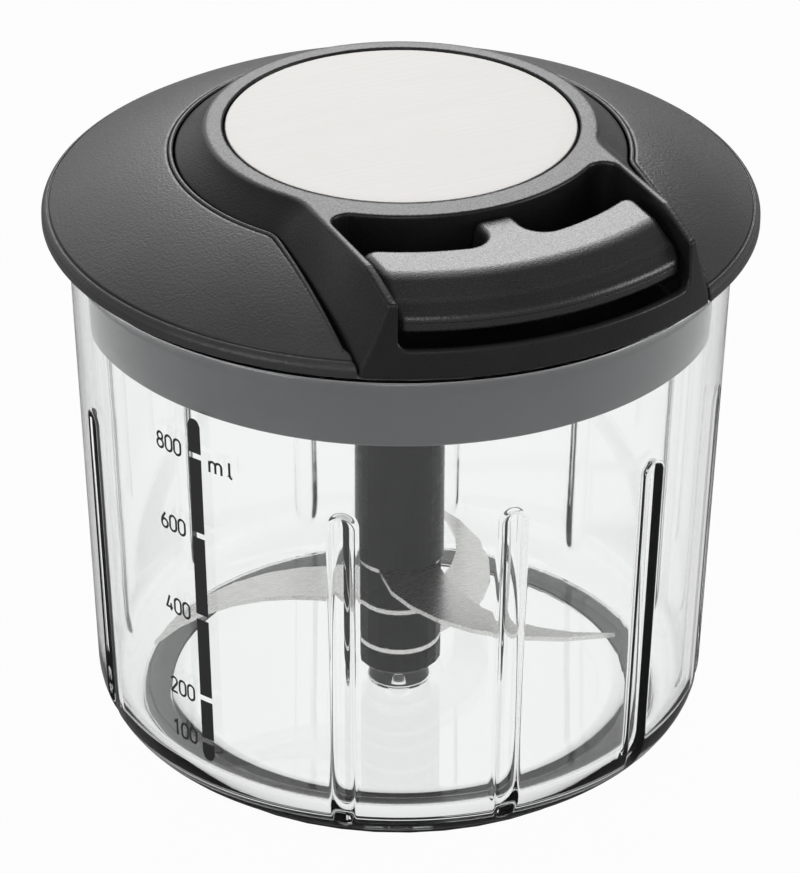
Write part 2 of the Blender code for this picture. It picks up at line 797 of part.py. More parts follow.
def cover_height(radius):
    """The dome's height: it falls faster and faster from the tower to the brim."""
    share = (radius - FLANK_RADIUS) / (BRIM_RADIUS - FLANK_RADIUS)
    top = TOWER_TOP_Z - FLANK_DROP
    return top - (top - BRIM_TOP_Z) * (COVER_STRAIGHTNESS * share + (1 - COVER_STRAIGHTNESS) * share * share)


def housing_outline(tower, half_width, front, fillet, flare=0.0, straight_steps=9):
    """A round tower that runs into a block towards -Y, which ends on a large radius.

    The block's sides spread by flare on their way out. It returns a ring for loft(): the +X
    half from back to front, then its mirror image.
    """
    middle_x = half_width + fillet
    reach = tower + fillet
    middle_y = -sqrt(reach * reach - middle_x * middle_x)
    meet = degrees(atan2(middle_y, middle_x))
    half = arc((0, 0), tower, 90, meet, 22)
    half += arc((middle_x, middle_y), fillet, 180 + meet, 180, 6)[1:]
    end_x = half_width + flare
    end_y = -sqrt(front * front - end_x * end_x)
    for i in range(1, straight_steps + 1):
        share = i / straight_steps
        half.append((half_width + flare * share, middle_y + (end_y - middle_y) * share))
    corner = degrees(atan2(end_y, end_x))
    half += arc((0, 0), front, corner, -90, 9)[1:]
    return half + [(-x, y) for x, y in reversed(half[1:-1])]


def tower_top(y):
    """The tower's top edge, which dips over the nose of each wing."""
    share = min(max((-y - NOSE_START) / (NOSE_END - NOSE_START), 0), 1)
    return TOWER_TOP_Z - NOSE_DROP * share**1.15


def build_housing_body():
    """The outer form: skirt, flank and raised top, lofted through five rings."""
    low = housing_outline(FLANK_RADIUS, FLANK_HALF_WIDTH, BRIM_RADIUS, FLANK_FILLET, -FLANK_TAPER)
    high = housing_outline(TOWER_TOP_RADIUS, WING_HALF_WIDTH, BRIM_RADIUS, WING_FILLET, WING_FLARE)
    top = housing_outline(
        TOWER_TOP_RADIUS - EDGE_ROUND,
        WING_HALF_WIDTH - EDGE_ROUND,
        BRIM_RADIUS,
        WING_FILLET + EDGE_ROUND,
        WING_FLARE,
    )
    foot = [(x, y, BRIM_Z) for x, y in low]
    brow = [(x, y, cover_height(hypot(x, y)) - EDGE_ROUND) for x, y in low]
    edge = [(x, y, tower_top(y) - EDGE_ROUND) for x, y in high]
    crown = [(x, y, tower_top(y)) for x, y in top]
    hollow = [
        ((a[0] + b[0]) / 2, (a[1] + b[1]) / 2, (a[2] + b[2]) / 2 - FLANK_HOLLOW) for a, b in zip(brow, edge)
    ]
    return loft("tower_housing", [foot, brow, hollow, edge, crown], flat_ends=False)


def bay_outline(inset, front):
    """The handle bay seen from above: a round back, filleted corners and straight sides.

    It ends on a circle of radius front, and is a ring for loft().
    """
    middle_x = BAY_HALF_WIDTH - BAY_CORNER
    reach = BAY_BACK_RADIUS + BAY_CORNER
    middle_y = -sqrt(reach * reach - middle_x * middle_x)
    meet = degrees(atan2(middle_y, middle_x))
    side = BAY_HALF_WIDTH - inset
    half = arc((0, 0), BAY_BACK_RADIUS + inset, -90, meet, 9)
    half += arc((middle_x, middle_y), BAY_CORNER - inset, 180 + meet, 0, 6)[1:]
    end = degrees(acos(side / front))
    half += arc((0, 0), front, -end, -90, 8)
    return half + [(-x, y) for x, y in reversed(half[1:-1])]


def bay_cutter(name, floor_z, front):
    """The bay's space above a floor, with a round between the floor and the walls."""
    rings = []
    for degrees_up in (0, 30, 60, 90):
        inset = BAY_BOTTOM_ROUND * (1 - sin(radians(degrees_up)))
        z = floor_z + BAY_BOTTOM_ROUND * (1 - cos(radians(degrees_up)))
        rings.append([(x, y, z) for x, y in bay_outline(inset, front)])
    rings.append([(x, y, TOWER_TOP_Z + 10) for x, y in bay_outline(0, front)])
    return loft(name, rings)


def build_housing(parent):
    housing = build_housing_body()
    tower_wall = CAVITY_RADIUS + HOUSING_WALL
    root_z = BRIM_Z + 1
    join(housing, rod("reel_wall", tower_wall, (0, 0, HOUSING_FOOT_Z), (0, 0, root_z), STEPS))
    boss_foot = HOUSING_FOOT_Z + SEAT_GAP
    for x, y in screw_places():
        join(housing, rod("screw_boss", SCREW_BOSS_RADIUS, (x, y, boss_foot), (x, y, root_z), 16))
    cut(housing, rod("reel_cavity", CAVITY_RADIUS, (0, 0, HOUSING_FOOT_Z - 5), (0, 0, CAVITY_TOP_Z), STEPS))
    cut(housing, bay_cutter("handle_bay", BAY_SILL_Z, BRIM_RADIUS * 1.2))
    cut(housing, bay_cutter("handle_bay_pocket", BAY_SILL_Z - BAY_SINK, BRIM_RADIUS - BAY_SILL))
    disc_seat = DISC_RADIUS + DISC_GAP
    cut(housing, rod("disc_seat", disc_seat, (0, 0, DISC_SEAT_Z), (0, 0, TOWER_TOP_Z + 5), STEPS))
    axle_top = CAVITY_TOP_Z + AXLE_SUNK + SEAT_GAP
    cut(housing, rod("axle_seat", AXLE_RADIUS + SEAT_GAP, (0, 0, CAVITY_TOP_Z - 5), (0, 0, axle_top)))
    eyelet_hole = EYELET_RADIUS + SEAT_GAP
    eyelet_start = (0, -CAVITY_RADIUS + 3, CORD_EXIT_Z)
    cut(housing, rod("eyelet_hole", eyelet_hole, eyelet_start, (0, -BAY_BACK_RADIUS - 3, CORD_EXIT_Z), 16))
    hole = SCREW_SHANK_RADIUS + SEAT_GAP
    for x, y in screw_places():
        hole_top = (x, y, BASE_FLOOR_UNDER_Z + SCREW_LENGTH + 1)
        cut(housing, rod("screw_hole", hole, (x, y, HOUSING_FOOT_Z - 2), hole_top, 12))
    finish(housing, CHARCOAL, parent, sharp=30)


def build_cover(parent):
    start = FLANK_RADIUS - 4
    steps = 7
    end = BRIM_RADIUS - BRIM_ROUND
    radii = [start + (end - start) * i / (steps - 1) for i in range(steps)]
    top = [(r, cover_height(r)) for r in radii]
    edge_low = BRIM_Z + 0.4
    edge_high = cover_height(end) - BRIM_ROUND * 0.55
    brim = [
        (BRIM_RADIUS - 0.35 * BRIM_ROUND, cover_height(end) - 0.2 * BRIM_ROUND),
        (BRIM_RADIUS, edge_high),
        (BRIM_RADIUS, edge_low),
        (BRIM_RADIUS - 0.5, BRIM_Z),
        (BRIM_RADIUS - COVER_WALL, BRIM_Z),
    ]
    under = [(r - COVER_WALL / 2, cover_height(r) - COVER_WALL) for r in radii[::-2]]
    cover = turned("lid_cover", top + brim + under, STEPS + 8)
    gap = COVER_JOINT
    opening = housing_outline(
        FLANK_RADIUS + gap, FLANK_HALF_WIDTH + gap, BRIM_RADIUS + 8, FLANK_FILLET - gap, -FLANK_TAPER
    )
    rings = [[(x, y, z) for x, y in opening] for z in (BRIM_Z - 5, TOWER_TOP_Z + 5)]
    cut(cover, loft("cover_opening", rings))
    finish(cover, CHARCOAL, parent, sharp=30)


def build_disc(parent):
    high = DISC_Z + DISC_THICKNESS
    soft = DISC_ROUND
    profile = [
        (0, DISC_Z),
        (DISC_RADIUS, DISC_Z),
        (DISC_RADIUS, high - soft),
        (DISC_RADIUS - soft, high),
        (0, high),
    ]
    finish(turned("steel_disc", profile), STEEL, parent)


def screw(name, place, parent, shank, length, head_radius, head, paint=STEEL):
    """A pan-head screw pointing up; place is the middle of its head's face."""
    x, y, z = place
    made = turned(
        name,
        [
            (0, z),
            (head_radius - 0.5, z),
            (head_radius, z + 0.5),
            (head_radius, z + head),
            (shank, z + head),
            (shank, z + head + length - shank),
            (shank * 0.3, z + head + length),
            (0, z + head + length),
        ],
        SCREW_STEPS,
    )
    made.data.transform(Matrix.Translation((x * MM, y * MM, 0)))
    return finish(made, paint, parent)


def build_lid_screws(parent):
    z = BASE_FLOOR_UNDER_Z - SEAT_GAP - SCREW_HEAD
    for i, (x, y) in enumerate(screw_places()):
        screw(
            f"lid_screw_{i + 1}",
            (x, y, z),
            parent,
            SCREW_SHANK_RADIUS,
            SCREW_LENGTH,
            SCREW_HEAD_RADIUS,
            SCREW_HEAD,
        )


# reel, spring and cord

def build_axle(parent):
    low = WHEEL_TOP_Z - 0.5
    high = CAVITY_TOP_Z + AXLE_SUNK
    profile = [(0, low), (AXLE_RADIUS, low), (AXLE_RADIUS, high), (0, high)]
    finish(turned("reel_axle", profile, SMALL_STEPS), STEEL, parent)


def build_arbor(parent):
    low = CUP_Z + CUP_FLOOR + RUNNING_GAP
    high = REEL_Z - RUNNING_GAP
    inner = AXLE_RADIUS + SEAT_GAP
    ring = [(inner, low), (ARBOR_RADIUS, low), (ARBOR_RADIUS, high), (inner, high)]
    finish(turned("spring_arbor", ring, TINY_STEPS), BLACK, parent)


def build_spring(parent):
    """A flat clock spring, wound between the arbor and the cup's wall."""
    start = ARBOR_RADIUS + SEAT_GAP + SPRING_THICKNESS / 2
    end = CUP_RADIUS - CUP_WALL - SEAT_GAP - SPRING_THICKNESS / 2
    low = CUP_Z + CUP_FLOOR + 2 * RUNNING_GAP
    high = REEL_Z - 2 * RUNNING_GAP
    count = ceil(SPRING_TURNS * SPRING_POINTS_PER_TURN)
    curve = bpy.data.curves.new("reel_spring", "CURVE")
    curve.dimensions = "2D"
    curve.fill_mode = "NONE"
    curve.extrude = (high - low) / 2 * MM
    spline = curve.splines.new("POLY")
    spline.points.add(count)
    for i, point in enumerate(spline.points):
        share = i / count
        turn = tau * SPRING_TURNS * share
        radius = start + (end - start) * share
        point.co = (radius * cos(turn) * MM, radius * sin(turn) * MM, 0, 1)
    guide = link(curve, "reel_spring_curve")
    guide.location.z = (high + low) / 2 * MM
    spring = mesh_of_curve(guide, "reel_spring", PARTS)
    wall = spring.modifiers.new("strip", "SOLIDIFY")
    wall.thickness = SPRING_THICKNESS * MM
    wall.offset = 0
    finish(settle(spring), STEEL, parent)


def build_cup(parent):
    bore = AXLE_BORE
    inner = CUP_RADIUS - CUP_WALL
    top = CUP_Z + CUP_HEIGHT
    floor = CUP_Z + CUP_FLOOR
    ring = [
        (bore, CUP_Z),
        (CUP_RADIUS, CUP_Z),
        (CUP_RADIUS, top),
        (inner, top),
        (inner, floor),
        (bore, floor),
    ]
    cup = turned("spring_cup", ring, REEL_STEPS)
    for x, y in pawl_pivots():
        join(cup, rod("pawl_pin", PAWL_PIN_RADIUS, (x, y, WHEEL_Z), (x, y, CUP_Z + CUP_FLOOR / 2), 12))
    finish(cup, WHITE, parent)


def build_reel(parent):
    bore = AXLE_BORE
    ring = [
        (bore, REEL_Z),
        (REEL_FLANGE_RADIUS, REEL_Z),
        (REEL_FLANGE_RADIUS, WINDING_Z),
        (REEL_DRUM_RADIUS, WINDING_Z),
        (REEL_DRUM_RADIUS, WINDING_Z + REEL_ROOM),
        (REEL_FLANGE_RADIUS, WINDING_Z + REEL_ROOM),
        (REEL_FLANGE_RADIUS, REEL_TOP_Z),
        (bore, REEL_TOP_Z),
    ]
    finish(turned("cord_reel", ring, REEL_STEPS), WHITE, parent)


def cord_exit():
    """Where the free run leaves the winding: the tangent point towards the eyelet."""
    lead = degrees(acos(WINDING_RADIUS / CORD_BEND))
    return at_bearing(WINDING_RADIUS, lead, CORD_EXIT_Z)


def winding_points():
    """The turns on the drum, side by side, ending where the free run begins."""
    low_z = WINDING_Z + CORD_RADIUS + RUNNING_GAP
    turns = (CORD_EXIT_Z - low_z) / CORD_PITCH
    count = ceil(turns * CORD_POINTS_PER_TURN)
    end = cord_exit()
    end_turn = atan2(end[1], end[0])
    points = []
    for i in range(count + 1):
        back = turns * (count - i) / count
        turn = end_turn + tau * back
        z = CORD_EXIT_Z - CORD_PITCH * back
        points.append((WINDING_RADIUS * cos(turn), WINDING_RADIUS * sin(turn), z))
    return points


def build_winding(parent):
    points = winding_points()
    gap = min(
        (Vector(points[i]) - Vector(points[j])).length - 2 * CORD_RADIUS
        for i in range(len(points))
        for j in range(i + CORD_POINTS_PER_TURN // 2, len(points))
    )
    print(f"cord winding: least gap to itself {gap:.2f} mm")
    finish(tube("cord_winding", points, CORD_RADIUS), CORD, parent)


def build_eyelet(parent):
    high = BAY_BACK_RADIUS - SEAT_GAP
    seat = EYELET_SEAT
    ring = [
        (EYELET_BORE, seat - EYELET_FLANGE),
        (EYELET_RADIUS + EYELET_LIP, seat - EYELET_FLANGE),
        (EYELET_RADIUS + EYELET_LIP, seat),
        (EYELET_RADIUS, seat),
        (EYELET_RADIUS, high - 0.3),
        (EYELET_RADIUS - 0.3, high),
        (EYELET_BORE + 0.4, high),
        (EYELET_BORE, high - 0.4),
    ]
    eyelet = turned("cord_eyelet", ring, TINY_STEPS)
    aim = Matrix.Translation((0, 0, CORD_EXIT_Z * MM)) @ Matrix.Rotation(radians(90), 4, "X")
    eyelet.data.transform(aim)
    finish(eyelet, STEEL, parent)


def build_pull_cord(parent):
    """The free run: off the drum, through the eyelet and into the handle's stem."""
    start = Vector(cord_exit())
    bend = Vector((0, -CORD_BEND, CORD_EXIT_Z))
    along = (bend - start).normalized()
    knot_end = Vector((0, KNOT_Y + KNOT_LENGTH / 2 + SEAT_GAP, CORD_EXIT_Z))
    first = start + along * (CORD_RADIUS + SEAT_GAP)
    turn_in = bend - along * 1.5
    turn_out = bend + Vector((0, -1.2, 0))
    middle = (turn_in + turn_out) / 4 + bend / 2
    line = [first, turn_in, middle, turn_out, knot_end]
    finish(tube("pull_cord", line, CORD_RADIUS, sides=2), CORD, parent)


# drive hub and clutch

def build_hub(parent):
    neck = HUB_NECK_Z
    groove_low = neck + 0.6
    groove_high = BASE_FLOOR_UNDER_Z - SEAT_GAP
    root = WHEEL_RADIUS - TOOTH_DEPTH
    hub = turned(
        "drive_hub",
        [
            (0, neck),
            (BEARING_RADIUS, neck),
            (BEARING_RADIUS, groove_low),
            (CLIP_GROOVE_RADIUS, groove_low),
            (CLIP_GROOVE_RADIUS, groove_high),
            (BEARING_RADIUS, groove_high),
            (BEARING_RADIUS, WHEEL_Z),
            (root - 1, WHEEL_Z),
            (root - 1, WHEEL_TOP_Z),
            (0, WHEEL_TOP_Z),
        ],
        SMALL_STEPS,
    )
    teeth = []
    step = 360 / TOOTH_COUNT
    for i in range(TOOTH_COUNT):
        teeth.append(spot(WHEEL_RADIUS, step * i))
        teeth.append(spot(root, step * i + 1))
        teeth.append(spot(root + TOOTH_DEPTH / 2, step * (i + 0.5)))
    wheel = plate("ratchet_teeth", teeth, WHEEL_Z + 0.2, WHEEL_TOP_Z - 0.2)
    join(hub, wheel)
    join(hub, rod("hub_hex", HEX_RADIUS, (0, 0, SHAFT_TOP_Z - HEX_LENGTH), (0, 0, neck + 1), 6))
    pocket = AXLE_RADIUS + RUNNING_GAP
    cut(hub, rod("axle_pocket", pocket, (0, 0, WHEEL_TOP_Z - 0.8), (0, 0, WHEEL_TOP_Z + 1)))
    finish(hub, WHITE, parent)


def build_clip(parent):
    """An open spring clip that holds the hub up in the lid base."""
    inner = CLIP_GROOVE_RADIUS + SEAT_GAP
    mouth = 35
    outline = arc((0, 0), CLIP_RADIUS, mouth, 360 - mouth, 22)
    outline += arc((0, 0), inner, 360 - mouth, mouth, 22)
    high = BASE_FLOOR_UNDER_Z - 2 * SEAT_GAP
    finish(plate("hub_clip", outline, high - CLIP_THICKNESS, high), STEEL, parent)


def pawl_pivots():
    step = 360 / PAWL_COUNT
    return [at_bearing(PAWL_PIVOT_RADIUS, 90 - step * i, 0)[:2] for i in range(PAWL_COUNT)]


def build_pawls(joints):
    """Hooked pawls under the cup, each on its own pin, resting in the ratchet's teeth."""
    low = WHEEL_Z + RUNNING_GAP
    high = WHEEL_TOP_Z - RUNNING_GAP
    tip = spot(WHEEL_RADIUS - TOOTH_DEPTH + PAWL_LIFT, PAWL_TIP_DEG)
    heel = spot(WHEEL_RADIUS + PAWL_EYE_RADIUS, PAWL_TIP_DEG - 2)
    aim = degrees(atan2(tip[1], tip[0] - PAWL_PIVOT_RADIUS))
    for i in range(PAWL_COUNT):
        eye = arc((PAWL_PIVOT_RADIUS, 0), PAWL_EYE_RADIUS, aim + 90, aim + 270, 10)
        pawl = plate(f"pawl_{i + 1}", eye + [tip, heel], low, high)
        pin = PAWL_PIN_RADIUS + RUNNING_GAP
        cut(pawl, rod("pawl_eye", pin, (PAWL_PIVOT_RADIUS, 0, low - 1), (PAWL_PIVOT_RADIUS, 0, high + 1), 12))
        pawl.data.transform(Matrix.Rotation(radians(360 / PAWL_COUNT * i), 4, "Z"))
        finish(pawl, BLACK, joints[i])


# handle

def bar_profile():
    """The bar's section: a flat top, a steep front slope, and a lip that flares out of it."""
    lip = LIP_RADIUS
    crease = BAR_CREASE_RADIUS
    top = HANDLE_TOP_Z
    return [
        (BAR_BACK_RADIUS, HANDLE_BOTTOM_Z),
        (lip - 1, HANDLE_BOTTOM_Z),
        (lip - 0.3, HANDLE_BOTTOM_Z + 0.3),
        (lip, HANDLE_BOTTOM_Z + 1),
        (lip, LIP_TOP_Z - 1),
        (lip - 0.3, LIP_TOP_Z - 0.3),
        (lip - 1, LIP_TOP_Z),
        (lip - 1.9, LIP_TOP_Z - 0.1),
        (lip - 2.7, LIP_TOP_Z + 0.1),
        (crease + 1.3, top - 0.75),
        (crease, top - 0.25),
        (crease - 1.6, top),
        (BAR_BACK_RADIUS, top),
    ]


def stem_outline(half):
    """The stem seen from above, with its fillets running into the bar."""
    end = BAY_BACK_RADIUS + STEM_GAP
    inside = BAR_BACK_RADIUS + 2
    room = BAR_BACK_RADIUS - end
    fillet = min(STEM_FILLET, 0.6 * room)
    corner = min(STEM_CORNER, 0.3 * room)
    fillet_y = -sqrt((BAR_BACK_RADIUS - fillet) ** 2 - (half + fillet) ** 2)
    meet = degrees(atan2(fillet_y, half + fillet))
    side = arc((half - corner, -end - corner), corner, 90, 0, 4)
    side += arc((half + fillet, fillet_y), fillet, 180, 360 + meet, 9)
    side.append((half + fillet, -inside))
    return side + [(-x, y) for x, y in reversed(side)]


def trim_outline(half_width):
    """The handle's ends seen from above, with rounded back corners."""
    back = -BAR_BACK_RADIUS * cos(radians(32))
    middle = (half_width - BAR_CORNER, back - BAR_CORNER)
    half = [(0, back)] + arc(middle, BAR_CORNER, 90, 0, 5)
    half += [(half_width, -LIP_RADIUS - 5), (0, -LIP_RADIUS - 5)]
    return half + [(-x, y) for x, y in reversed(half[1:-1])]


def handle_block(name):
    """The whole handle before it is parted: the turned bar trimmed to width, and the stem."""
    bar = turned(name, bar_profile(), BAR_STEPS)
    wide = trim_outline(HANDLE_HALF_WIDTH)
    narrow = trim_outline(HANDLE_HALF_WIDTH - HANDLE_DRAFT)
    levels = ((wide, HANDLE_BOTTOM_Z - 1), (wide, LIP_TOP_Z + 0.1), (narrow, HANDLE_TOP_Z + 1))
    cut(bar, loft(name + "_trim", [[(x, y, z) for x, y in outline] for outline, z in levels]), "INTERSECT")
    low = stem_outline(STEM_HALF_WIDTH + STEM_DRAFT)
    high = stem_outline(STEM_HALF_WIDTH)
    rings = ([(x, y, HANDLE_BOTTOM_Z) for x, y in low], [(x, y, HANDLE_TOP_Z) for x, y in high])
    join(bar, loft(name + "_stem", rings))
    return rounded(bar, HANDLE_EDGE, 2, 50)


def build_handle(parent):
    knot_room = KNOT_RADIUS + SEAT_GAP
    knot_half = KNOT_LENGTH / 2 + SEAT_GAP
    knot_front = (0, KNOT_Y - knot_half, CORD_EXIT_Z)
    knot_back = (0, KNOT_Y + knot_half, CORD_EXIT_Z)
    cord_room = CORD_RADIUS + 0.45
    cord_start = (0, -BAY_BACK_RADIUS + 2, CORD_EXIT_Z)
    halves = (
        ("handle_upper", 0, PARTING_Z + SEAT_GAP / 2),
        ("handle_lower", PARTING_Z - SEAT_GAP / 2, TOWER_TOP_Z + 5),
    )
    for name, low, high in halves:
        shell = handle_block(name)
        cut(shell, box(name + "_parting", (-LONG_CUT, -LONG_CUT * 2, low), (LONG_CUT, 0, high)))
        cut(shell, rod(name + "_knot_room", knot_room, knot_front, knot_back, 16))
        cut(shell, rod(name + "_cord_way", cord_room, cord_start, (0, KNOT_Y, CORD_EXIT_Z), 12))
        for side in (-1, 1):
            x = side * HANDLE_SCREW_X
            hole = HANDLE_SCREW_RADIUS + SEAT_GAP
            head = HANDLE_SCREW_HEAD_RADIUS + SEAT_GAP
            bottom = (x, HANDLE_SCREW_Y, HANDLE_BOTTOM_Z - 1)
            head_top = (x, HANDLE_SCREW_Y, HANDLE_BOTTOM_Z + HANDLE_SCREW_HEAD + SEAT_GAP)
            hole_top = (x, HANDLE_SCREW_Y, PARTING_Z + HANDLE_SCREW_REACH)
            cut(shell, rod(name + "_hole", hole, bottom, hole_top, 12))
            if name == "handle_lower":
                cut(shell, rod(name + "_head_room", head, bottom, head_top, 16))
        finish(shell, BLACK, parent, sharp=32)
    for i, side in enumerate((-1, 1)):
        low = HANDLE_BOTTOM_Z
        length = PARTING_Z + HANDLE_SCREW_REACH - SEAT_GAP - low - HANDLE_SCREW_HEAD
        screw(
            f"handle_screw_{i + 1}",
            (side * HANDLE_SCREW_X, HANDLE_SCREW_Y, low),
            parent,
            HANDLE_SCREW_RADIUS,
            length,
            HANDLE_SCREW_HEAD_RADIUS,
            HANDLE_SCREW_HEAD,
        )


def build_knot(parent):
    """The ferrule that the cord's end is crimped in, held between the handle's shells."""
    low = KNOT_Y - KNOT_LENGTH / 2
    high = KNOT_Y + KNOT_LENGTH / 2
    knot = rod("cord_knot", KNOT_RADIUS, (0, low, CORD_EXIT_Z), (0, high, CORD_EXIT_Z), 16)
    finish(rounded(knot, 0.5, 1), STEEL, parent)


# assembly

root = joint_empty("bowl_root")
lid_joint = joint_empty("lid_lift", (0, 0, BOWL_RIM_Z), root)
hub_joint = joint_empty("hub_spin", (0, 0, WHEEL_Z), lid_joint)
insert_joint = joint_empty("insert_spin", (0, 0, SHAFT_TOP_Z), root)
reel_joint = joint_empty("reel_spin", (0, 0, REEL_Z), lid_joint)
handle_joint = joint_empty("handle_pull", (0, -BAY_BACK_RADIUS, CORD_EXIT_Z), lid_joint)
pawl_joints = [
    joint_empty(f"pawl_{i + 1}_swing", (x, y, WHEEL_Z), reel_joint) for i, (x, y) in enumerate(pawl_pivots())
]

build_bowl(root)
build_foot_ring(root)
build_pivot_pin(root)
build_insert(insert_joint)
build_blades(insert_joint)
build_lid_base(lid_joint)
build_gasket(lid_joint)
build_housing(lid_joint)
build_cover(lid_joint)
build_disc(lid_joint)
build_lid_screws(lid_joint)
build_axle(lid_joint)
build_arbor(lid_joint)
build_spring(lid_joint)
build_eyelet(lid_joint)
build_pull_cord(lid_joint)
build_cup(reel_joint)
build_reel(reel_joint)
build_winding(reel_joint)
build_hub(hub_joint)
build_clip(hub_joint)
build_pawls(pawl_joints)
build_handle(handle_joint)
build_knot(handle_joint)
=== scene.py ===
# Looks of the pull-cord food chopper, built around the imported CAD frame.
# Sizes are in millimetres and become metres in the helpers. The frame is the CAD's own: the
# origin is on the bowl's axis under the anti-slip ring, +Z is up, the handle pulls along -Y.

from math import acos, atan, atan2, ceil, cos, degrees, hypot, radians, sin, sqrt, tau

import bmesh
import bpy
import numpy as np
from mathutils import Matrix, Vector


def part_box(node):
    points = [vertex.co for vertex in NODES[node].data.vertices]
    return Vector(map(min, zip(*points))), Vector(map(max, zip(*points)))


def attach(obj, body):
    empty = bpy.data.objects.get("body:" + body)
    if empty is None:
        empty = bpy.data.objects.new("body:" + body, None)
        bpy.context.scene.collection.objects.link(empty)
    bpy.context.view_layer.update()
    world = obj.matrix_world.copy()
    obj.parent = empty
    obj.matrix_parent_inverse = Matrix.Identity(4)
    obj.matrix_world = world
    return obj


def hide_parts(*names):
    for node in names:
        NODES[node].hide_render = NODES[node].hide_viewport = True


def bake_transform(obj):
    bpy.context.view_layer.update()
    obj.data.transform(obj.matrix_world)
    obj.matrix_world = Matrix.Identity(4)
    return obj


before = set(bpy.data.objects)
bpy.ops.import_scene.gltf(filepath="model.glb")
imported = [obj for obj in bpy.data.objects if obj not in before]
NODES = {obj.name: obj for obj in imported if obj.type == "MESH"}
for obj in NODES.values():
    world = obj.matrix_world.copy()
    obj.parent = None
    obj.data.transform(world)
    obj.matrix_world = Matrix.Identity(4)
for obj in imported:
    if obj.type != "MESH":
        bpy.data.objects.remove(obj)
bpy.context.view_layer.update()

MM = 0.001
# farther than anything here, in millimetres
FAR = 1000.0

# bowl, as in the CAD but for shallower flutes
BOWL_FOOT_Z = 1.0
BOWL_RIM_Z = 107.2
BOWL_RIM_RADIUS = 64.6
BOWL_DRAFT = 0.038
BOWL_WALL = 2.8
BOWL_CORNER_RADIUS = 12.0
BOWL_FLOOR_Z = 5.2
RIM_BEAD = 0.6
RIM_BEAD_HEIGHT = 3.0
BOWL_TURN_DEG = -5.0
FLUTE_COUNT = 12
SCALE_PLACE = 10
FLUTE_RADIUS = 2.7
FLUTE_DEPTH = 1.6
FLUTE_WALL = 1.45
FLUTE_TOP_Z = 77.0
FLUTE_SPAN_DEG = 5.6
FLUTE_REACH = 0.2
FLUTE_EDGE = {"out": 0.45, "in": 1.3}
FOOT_RING_OUTER = 52.5
FOOT_RING_WIDTH = 5.7
FOOT_RING_SUNK = 1.6
PIVOT_BOSS_RADIUS = 6.0
PIVOT_BOSS_Z = 9.0
PIN_HOLE_RADIUS = 1.8
PIN_HOLE_Z = 3.7
SEAT_GAP = 0.3

# lid, as in the CAD but for finer edges and a narrower flange on the base
BRIM_RADIUS = 69.5
BRIM_Z = 110.1
BRIM_EDGE = 2.3
BRIM_TOP_Z = BRIM_Z + BRIM_EDGE
BRIM_ROUND = 1.6
COVER_STRAIGHTNESS = 0.58
COVER_WALL = 2.2
COVER_STEEPNESS = 1.12
COVER_JOINT = 0.35
BRIM_GROOVE = 0.42
BRIM_GROOVE_DEPTH = 0.4
BRIM_GROOVE_INSET = 1.35
BEAD_RADIUS = 0.42
BEAD_RISE = 0.05
BEAD_GAP = 0.1
BEAD_END = 66.6
BEAD_STEP = 0.8
BEAD_FADE = 1.2
TOWER_TOP_Z = 128.6
TOWER_TOP_RADIUS = 37.9
FLANK_WIDTH = 5.7
FLANK_DROP = 4.7
FLANK_HOLLOW = 0.5
FLANK_RADIUS = TOWER_TOP_RADIUS + FLANK_WIDTH
WING_HALF_WIDTH = 30.8
FLANK_HALF_WIDTH = WING_HALF_WIDTH + FLANK_WIDTH
WING_FLARE = 0.5
WING_FILLET = 11.0
FLANK_FILLET = 8.0
FLANK_TAPER = 0.7
NOSE_START = 51.3
NOSE_END = 61.8
NOSE_DROP = 2.9
NOSE_POWER = 1.15
EDGE_ROUND = 0.5
NOSE_ROUND = 0.55
BAY_EDGE_ROUND = 0.45
SILL_FILLET = 0.8
SEAT_ROUND = 0.3
GROOVE_ROUND = 0.15
JOINT_ROUND = 0.4
COVER_FOOT_ROUND = 0.35
HOUSING_WALL = 2.5
HOUSING_FOOT_Z = 99.3
CAVITY_RADIUS = 36.6
CAVITY_TOP_Z = 124.3
AXLE_RADIUS = 3.0
AXLE_SUNK = 1.6
BAY_BACK_RADIUS = 39.9
BAY_HALF_WIDTH = 29.6
BAY_SILL_Z = 116.1
BAY_SILL = 1.6
BAY_SINK = 2.8
BAY_CORNER = 3.2
BAY_BOTTOM_ROUND = 2.2
DISC_RADIUS = 33.9
DISC_GAP = 0.45
DISC_SEAT_Z = 126.9
DISC_Z = 127.2
DISC_THICKNESS = 1.2
CORD_EXIT_Z = 120.5
EYELET_RADIUS = 2.7
BASE_FLOOR_UNDER_Z = 96.5
SCREW_CIRCLE = 41.5
SCREW_COUNT = 4
SCREW_LENGTH = 9.0
SCREW_SHANK_RADIUS = 1.3
SCREW_BOSS_RADIUS = 3.2
COLLAR_GAP = 0.4
COLLAR_BOTTOM_Z = 92.0
COLLAR_WALL = 2.2
BASE_FLOOR_Z = 99.0
FLANGE_Z = 108.6
FLANGE_TOP_Z = 110.1
FLANGE_RADIUS = 66.2
BEARING_BORE = 6.3
BEARING_WALL = 2.2
BEARING_TOP_Z = 101.0

